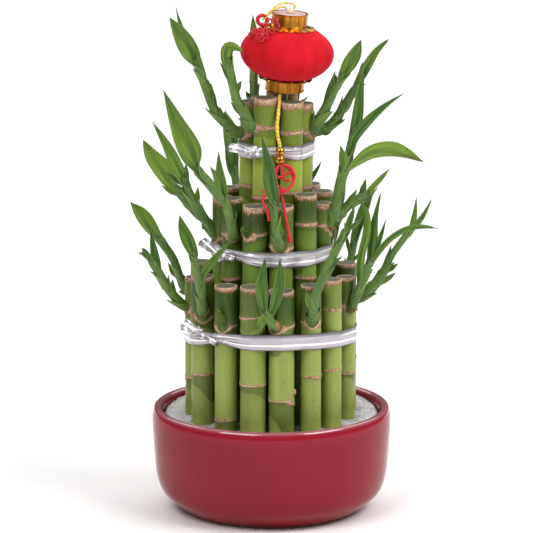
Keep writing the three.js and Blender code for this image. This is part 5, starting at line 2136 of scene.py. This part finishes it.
SHOOTS: dict[str, list[Shoot]] = {
    "upper": [
        Shoot(0, 194.8, 3.2, [
            (-17.5, -3, 195.4), (-21.5, -4, 199), (-29, -5, 208), (-34, -6, 222), (-39, -7, 234),
        ], [
            Leaf([(-38, -7, 231), (-42, -8, 240), (-46.5, -8.5, 248), (-51, -9, 255)], 9.6, tone=0.8),
            Leaf([(-36, -6.5, 227), (-42, -5, 241), (-46, -4, 251), (-48, -3, 259)], 3.4, 40),
            Leaf([(-33, -6, 219), (-35.5, -8, 230), (-38, -10, 242)], 3.6),
            Leaf([(-28, -5, 206), (-30, -7, 215), (-32, -9, 224)], 4),
            Leaf([(-21, -4, 197), (-24.5, -6, 203), (-26, -8, 209.5)], 4),
        ]),
        Shoot(1, 200, 3.6, [
            (-10, -12.5, 201), (-13, -13, 206), (-17, -13.5, 213), (-20, -14.5, 226), (-22, -15, 236),
        ], [
            Leaf([
                (-20.5, -14.5, 229), (-22.4, -15.5, 236.5), (-21.4, -16.5, 241), (-17.6, -17.5, 241),
                (-13.8, -18, 238.5),
            ], 6.6, tone=0.6),
            Leaf([(-19, -14, 221), (-22, -13.5, 227), (-26, -12, 233)], 3.5),
            Leaf([(-18, -14, 216), (-16.5, -16, 221), (-15, -17, 224.5)], 3),
            Leaf([(-13, -13, 206), (-17, -13.2, 209), (-20.5, -13, 213)], 3.5),
        ]),
        Shoot(3, 195.2, 3.6, [
            (20.5, 0, 196.4), (23.5, -2, 201), (28, -3, 209), (33, -4, 220), (37, -4, 227),
        ], [
            Leaf([(34, -4, 222), (38, -4.5, 229), (42, -4.5, 236), (45, -4, 243)], 7.2, belly=1.15),
            Leaf([(27, -3, 207), (29.5, -6, 217), (32, -8, 228)], 4.5),
        ]),
        Shoot(3, 194.6, 3, [
            (21, 3, 194.8), (28, 2.4, 197), (33, 2, 202), (39, 2.4, 211.5), (45, 2.5, 221.5),
        ], [
            Leaf([(44, 2.5, 220), (48.5, 3, 229), (53, 3.5, 236), (59, 3, 242)], 4.5),
            Leaf([(43, 2.4, 218), (45, 0.5, 225), (46, -0.5, 231)], 2.6),
            Leaf([(32, 2, 200.5), (34.5, -2, 206), (37, -4, 212)], 3.5),
            Leaf([(34, 2.2, 203.5), (37.5, 4, 206), (41, 5.4, 209.5)], 3),
            Leaf([(28, 2.4, 196), (33, 4.6, 199.5), (37, 6, 203)], 3),
        ]),
        Shoot(5, 197, 2.8, [(-8, 15, 204), (-9, 20, 214), (-8.5, 26, 228), (-8.5, 28, 238)], [
            Leaf([(-8.5, 27.5, 234), (-9, 29, 242), (-9.5, 30, 250)], 3.6),
            Leaf([(-8.5, 16, 206), (-11, 17.5, 209), (-13, 17, 213)], 3),
        ]),
    ],
    "middle": [
        Shoot(0, 140.5, 3, [
            (-29, -2, 143), (-32, -3, 148), (-36, -4, 154), (-41, -6, 164), (-45, -8, 174),
        ], [
            Leaf([(-44, -7.5, 171), (-48, -9, 180), (-52.5, -10, 190), (-60, -12, 203)], 6.4, tone=0.45),
            Leaf([(-43, -7, 169), (-43, -8.5, 175), (-43, -10, 181)], 3.5),
            Leaf([(-39, -5, 160), (-42, -7, 164.5), (-45.5, -9, 169)], 3.5),
            Leaf([(-38, -5, 158), (-37.5, -6.5, 163), (-37, -8, 168.5)], 3.5),
            Leaf([(-43, -7, 169), (-48, -6.5, 172), (-53, -6, 175.5)], 3),
        ]),
        Shoot(1, 144.9, 3, [
            (-19, -20, 146), (-20.5, -23, 154), (-22.5, -24.5, 162), (-27, -25.5, 168),
            (-38, -26.5, 184),
        ], [
            Leaf([(-37, -26.5, 182), (-41, -27, 192), (-46.5, -27.5, 204), (-54, -28, 222)], 12, tone=0.72),
            Leaf([(-23.5, -24.5, 164), (-25, -24.5, 172), (-26, -24.5, 180), (-26.5, -24, 190)], 6),
            Leaf([(-32, -26, 175), (-36, -28, 178), (-40, -29, 183)], 3),
        ]),
        Shoot(2, 148.4, 2.6, [
            (-12, -27.5, 149.4), (-14, -30.8, 151), (-14.4, -31, 153),
        ], bark=True, shade=0.8),
        Shoot(3, 141.5, 3, [(4, -32, 143.5), (2.6, -34.5, 150), (1.6, -35, 159), (1, -35.5, 168)], [
            Leaf([(1.3, -35.5, 165), (-0.5, -36.5, 176), (-2, -37, 187), (-5, -37, 200.5)], 7.6),
            Leaf([(3.4, -33.5, 147), (4.6, -36, 150.5), (5, -37, 155)], 3.6),
        ]),
        Shoot(5, 147.8, 3.4, [
            (30, -9.5, 150), (32, -10, 157), (34, -10.5, 168), (36.5, -10.5, 178), (39, -10, 186),
        ], [
            Leaf([(36.5, -10.5, 177), (36, -13, 184), (34.5, -14, 191)], 4.5),
            Leaf([
                (36, -10, 174), (42, -6, 179), (50, -5, 184.5), (59, -5, 186), (67, -5, 184.5),
                (76.5, -5, 180.5),
            ], 10.2, 25, tone=0.2, belly=1.5),
            Leaf([
                (38.5, -10, 184), (42, -9, 194.5), (48.5, -8.5, 202.5), (57, -8, 210), (67, -7, 216.5),
            ], 5.5),
            Leaf([(38.5, -9.5, 184), (43, -5.5, 203), (44.5, -4, 215), (46.5, -3, 227)], 6),
        ]),
        Shoot(5, 147.8, 2.8, [(31, -7, 151), (38, -4.5, 157), (43, -3, 160.5), (49, -2, 165)], [
            Leaf([(45, -3, 162), (46.5, -3.5, 167), (47.5, -3.5, 171.5)], 3),
            Leaf([(48, -2.5, 164), (54, -1, 170), (60, 0, 176.5)], 2.8),
            Leaf([(36, -6, 155.5), (40, -6.5, 161.5), (43.5, -6.5, 167.5)], 3),
            Leaf([(29, -10, 148), (32, -12, 149.5), (35.5, -13, 151.5)], 3.5),
        ]),
        Shoot(11, 143, 3, [(-28, 10.4, 144), (-33, 9, 147), (-42, 9, 156), (-50, 9.5, 167)], [
            Leaf([(-49, 9.5, 165), (-55, 10, 173.5), (-61, 10.5, 181), (-65, 10.5, 189)], 10, tone=0.5),
            Leaf([(-46, 9, 161), (-51, 7.5, 163), (-56, 6, 166.5)], 3),
            Leaf([(-43, 9, 157), (-45, 10.5, 161), (-47, 12, 165.5)], 3),
        ]),
    ],
    "lower": [
        Shoot(0, 104.7, 2.8, [
            (-43.5, -2, 105.5), (-47, -4, 108.5), (-53, -6, 116), (-57, -7, 124), (-62, -8, 132),
        ], [
            Leaf([(-60.5, -8, 130), (-64, -8, 133.5), (-67.5, -8, 134.5)], 3),
            Leaf([(-60, -8, 129), (-63, -9, 134), (-65.5, -10, 137.5)], 3),
            Leaf([(-57, -7, 124), (-59, -6.5, 133), (-61, -6, 145.5)], 4.5),
            Leaf([(-49, -5, 111), (-50, -7, 116), (-50, -9, 121)], 3.2),
        ]),
        Shoot(1, 104.2, 3.2, [
            (-34.5, -22, 108), (-35, -25, 115), (-36.5, -26.5, 124), (-38.5, -27.5, 134),
            (-39.5, -28, 140),
        ], [
            Leaf([(-39, -28, 137), (-42, -29, 146), (-44.5, -29.5, 152.5), (-46, -29, 158.5)], 7),
            Leaf([(-36.3, -26.5, 123), (-33, -27, 130), (-26, -27.5, 138.5), (-18, -27, 147)], 4.5),
        ]),
        Shoot(2, 104, 3.6, [
            (-24.5, -35.5, 106), (-26.3, -38.2, 109), (-26.8, -38.6, 112.5),
        ], bark=True, shade=0.85),
        Shoot(4, 104, 3, [(1.5, -44, 105), (-1, -46, 109), (-3.5, -46.8, 114.5)], [
            Leaf([
                (-3, -46.6, 112), (-4.5, -47.2, 120), (-4.8, -47.2, 128), (-3, -46, 140.5),
            ], 6.8, tone=1, belly=1.15),
            Leaf([
                (-1, -46, 109), (1.5, -47.4, 117), (4, -47.4, 129), (4, -46, 139.5),
            ], 6, tone=0.85, belly=1.2),
            Leaf([(-2, -46.4, 110.5), (-5, -48.4, 107.5), (-6, -49, 102)], 5),
        ]),
        Shoot(4, 68, 2.6, [(9, -39, 69.4), (12.4, -40, 69.8)], bark=True),
        Shoot(5, 105.1, 3.2, [
            (20.5, -38, 107), (21, -40, 112), (22, -40.5, 120), (30, -40, 138), (38, -38.5, 155),
        ], [
            Leaf([(37, -38.7, 153), (39.5, -38, 159), (41.5, -37, 165)], 3.5),
            Leaf([(36.5, -38.8, 152), (41, -38, 155), (46.5, -37, 159.5)], 2.8),
            Leaf([(31, -40, 140), (33, -41, 146), (35, -41.5, 152.5)], 3),
            Leaf([(27, -40.2, 131), (31, -41.5, 136), (35.5, -42, 140.5)], 3),
            Leaf([(21, -40, 112), (18.5, -41.5, 117), (17, -42, 123)], 4),
        ]),
        Shoot(7, 107, 3, [(40.5, -12, 107), (42.5, -13, 112), (48, -13.5, 126), (50, -13, 132)], [
            Leaf([(49.5, -13, 130), (51, -12.5, 141), (52, -11.5, 152), (55, -10, 166)], 4.5),
            Leaf([
                (44.5, -13.2, 117), (45, -16.5, 133), (48, -17, 148), (47.5, -17.5, 158),
                (44, -17.5, 163),
            ], 4),
            Leaf([(50, -13, 131), (54.5, -10.5, 142), (58, -9, 152.5)], 3),
            Leaf([
                (49.6, -13, 129), (59, -13.5, 142), (68, -12.5, 147.5), (77, -11, 148.5), (85, -10, 147),
            ], 3),
        ]),
        Shoot(8, 106, 3, [(43, 6.4, 107), (48, 4.5, 110.5), (56, 4, 120), (61, 5, 130), (71, 6, 144)], [
            Leaf([(70, 6, 142), (72.5, 6, 150), (73.5, 6, 160.5)], 3.2),
            Leaf([(70.5, 6, 143), (76, 7, 149), (81.5, 8, 159)], 3.2),
            Leaf([(53, 4, 116.5), (56, 2, 122), (58, 1, 128)], 3.6),
            Leaf([(57, 4.2, 121.5), (61, 2, 124), (64.5, 1, 127)], 3),
            Leaf([(52, 4, 115), (58, 7, 117), (63.5, 8.5, 120.5)], 3.2),
        ]),
        Shoot(15, 106, 2.6, [(-41, 14.5, 108.5), (-45, 14, 113), (-50, 15, 126), (-60, 16, 140)], [
            Leaf([(-58.5, 16, 138), (-64, 16.5, 146), (-68, 17, 151), (-72, 17, 155.5)], 7.6, tone=0.5),
            Leaf([(-50, 15, 126), (-53, 13, 132), (-54.5, 12, 138)], 3),
            Leaf([(-46, 14.2, 116), (-50, 16, 119), (-53, 17, 124)], 3),
        ]),
    ],
}

TIERS = [
    Tier(
        name="lower", ring_radius=38.4, shift=0, lean=0, skin=Skin.CANE_LOWER,
        canes=CANES["lower"], shoots=SHOOTS["lower"],
        growth=Growth(on=(9, 10, 11, 12, 13), reach=(20, 26), rise=(26, 36), tip=(20, 27), drift=0.35),
        ribbon=Ribbon(
            height=91.3, slant=0.11, spread=7,
            neck=[(-36.5, -27, 97.5), (-32, -31.5, 95.6), (-27, -36, 93.6)],
            tail=[(-36.5, -27, 97.5), (-40, -25, 99), (-45, -22.5, 100.5)],
        ),
    ),
    Tier(
        name="middle", ring_radius=25.5, shift=-0.3, lean=0.0075, skin=Skin.CANE_MIDDLE,
        canes=CANES["middle"], shoots=SHOOTS["middle"],
        growth=Growth(on=(7, 8, 9, 10), reach=(14, 18), rise=(26, 34), tip=(20, 26), drift=0.8),
        ribbon=Ribbon(
            height=135.5, slant=0, spread=5.5,
            neck=[(-25.6, -20.8, 135.7), (-22, -23.6, 135.4), (-18, -26, 135.2)],
            tail=[(-25.6, -20.8, 135.7), (-30, -20.5, 139), (-35.5, -20, 143)],
        ),
        scar=0.85, rim=(1.6, 2.9), crown_shade=0.75,
    ),
    Tier(
        name="upper", ring_radius=13, shift=-0.6, lean=0.016, skin=Skin.CANE_UPPER,
        canes=CANES["upper"], shoots=SHOOTS["upper"],
        growth=Growth(on=(4,), reach=(12, 14), rise=(17, 19), tip=(15, 17), drift=0.3),
        ribbon=Ribbon(
            height=187, slant=0, spread=4.5,
            neck=[(-9.4, -18.5, 188.2), (-5, -19.6, 187.6), (0, -19.6, 187)],
            tail=[(-9.4, -18.5, 188.2), (-14.5, -15.5, 189), (-21.5, -12.5, 189.6)],
        ),
        centre_cane=6, scar=0.95, rim=(1.7, 3.0), crown_shade=0.4,
    ),
]


def main() -> None:
    """Builds the studio, the cords and every part of the tower in order."""
    logging.basicConfig(level=logging.INFO, format="%(message)s")
    studio = Studio()
    studio.camera()
    Beads().build()
    for cord in CORDS:
        cord.build()
    studio.build()
    Bowl().build()
    gravel = Gravel()
    # Where each cane stands in the gravel, without height, and how thick it is
    standing = [
        (tier.axis(number, 0) + Vector((tier.lean * gravel.level, 0, 0)), cane.radius)
        for tier in TIERS for number, cane in enumerate(tier.canes)
    ]
    gravel.bed()
    gravel.scatter(standing)
    for tier in TIERS:
        tier.build()
    Lantern().build()


if __name__ == "__main__":
    main()
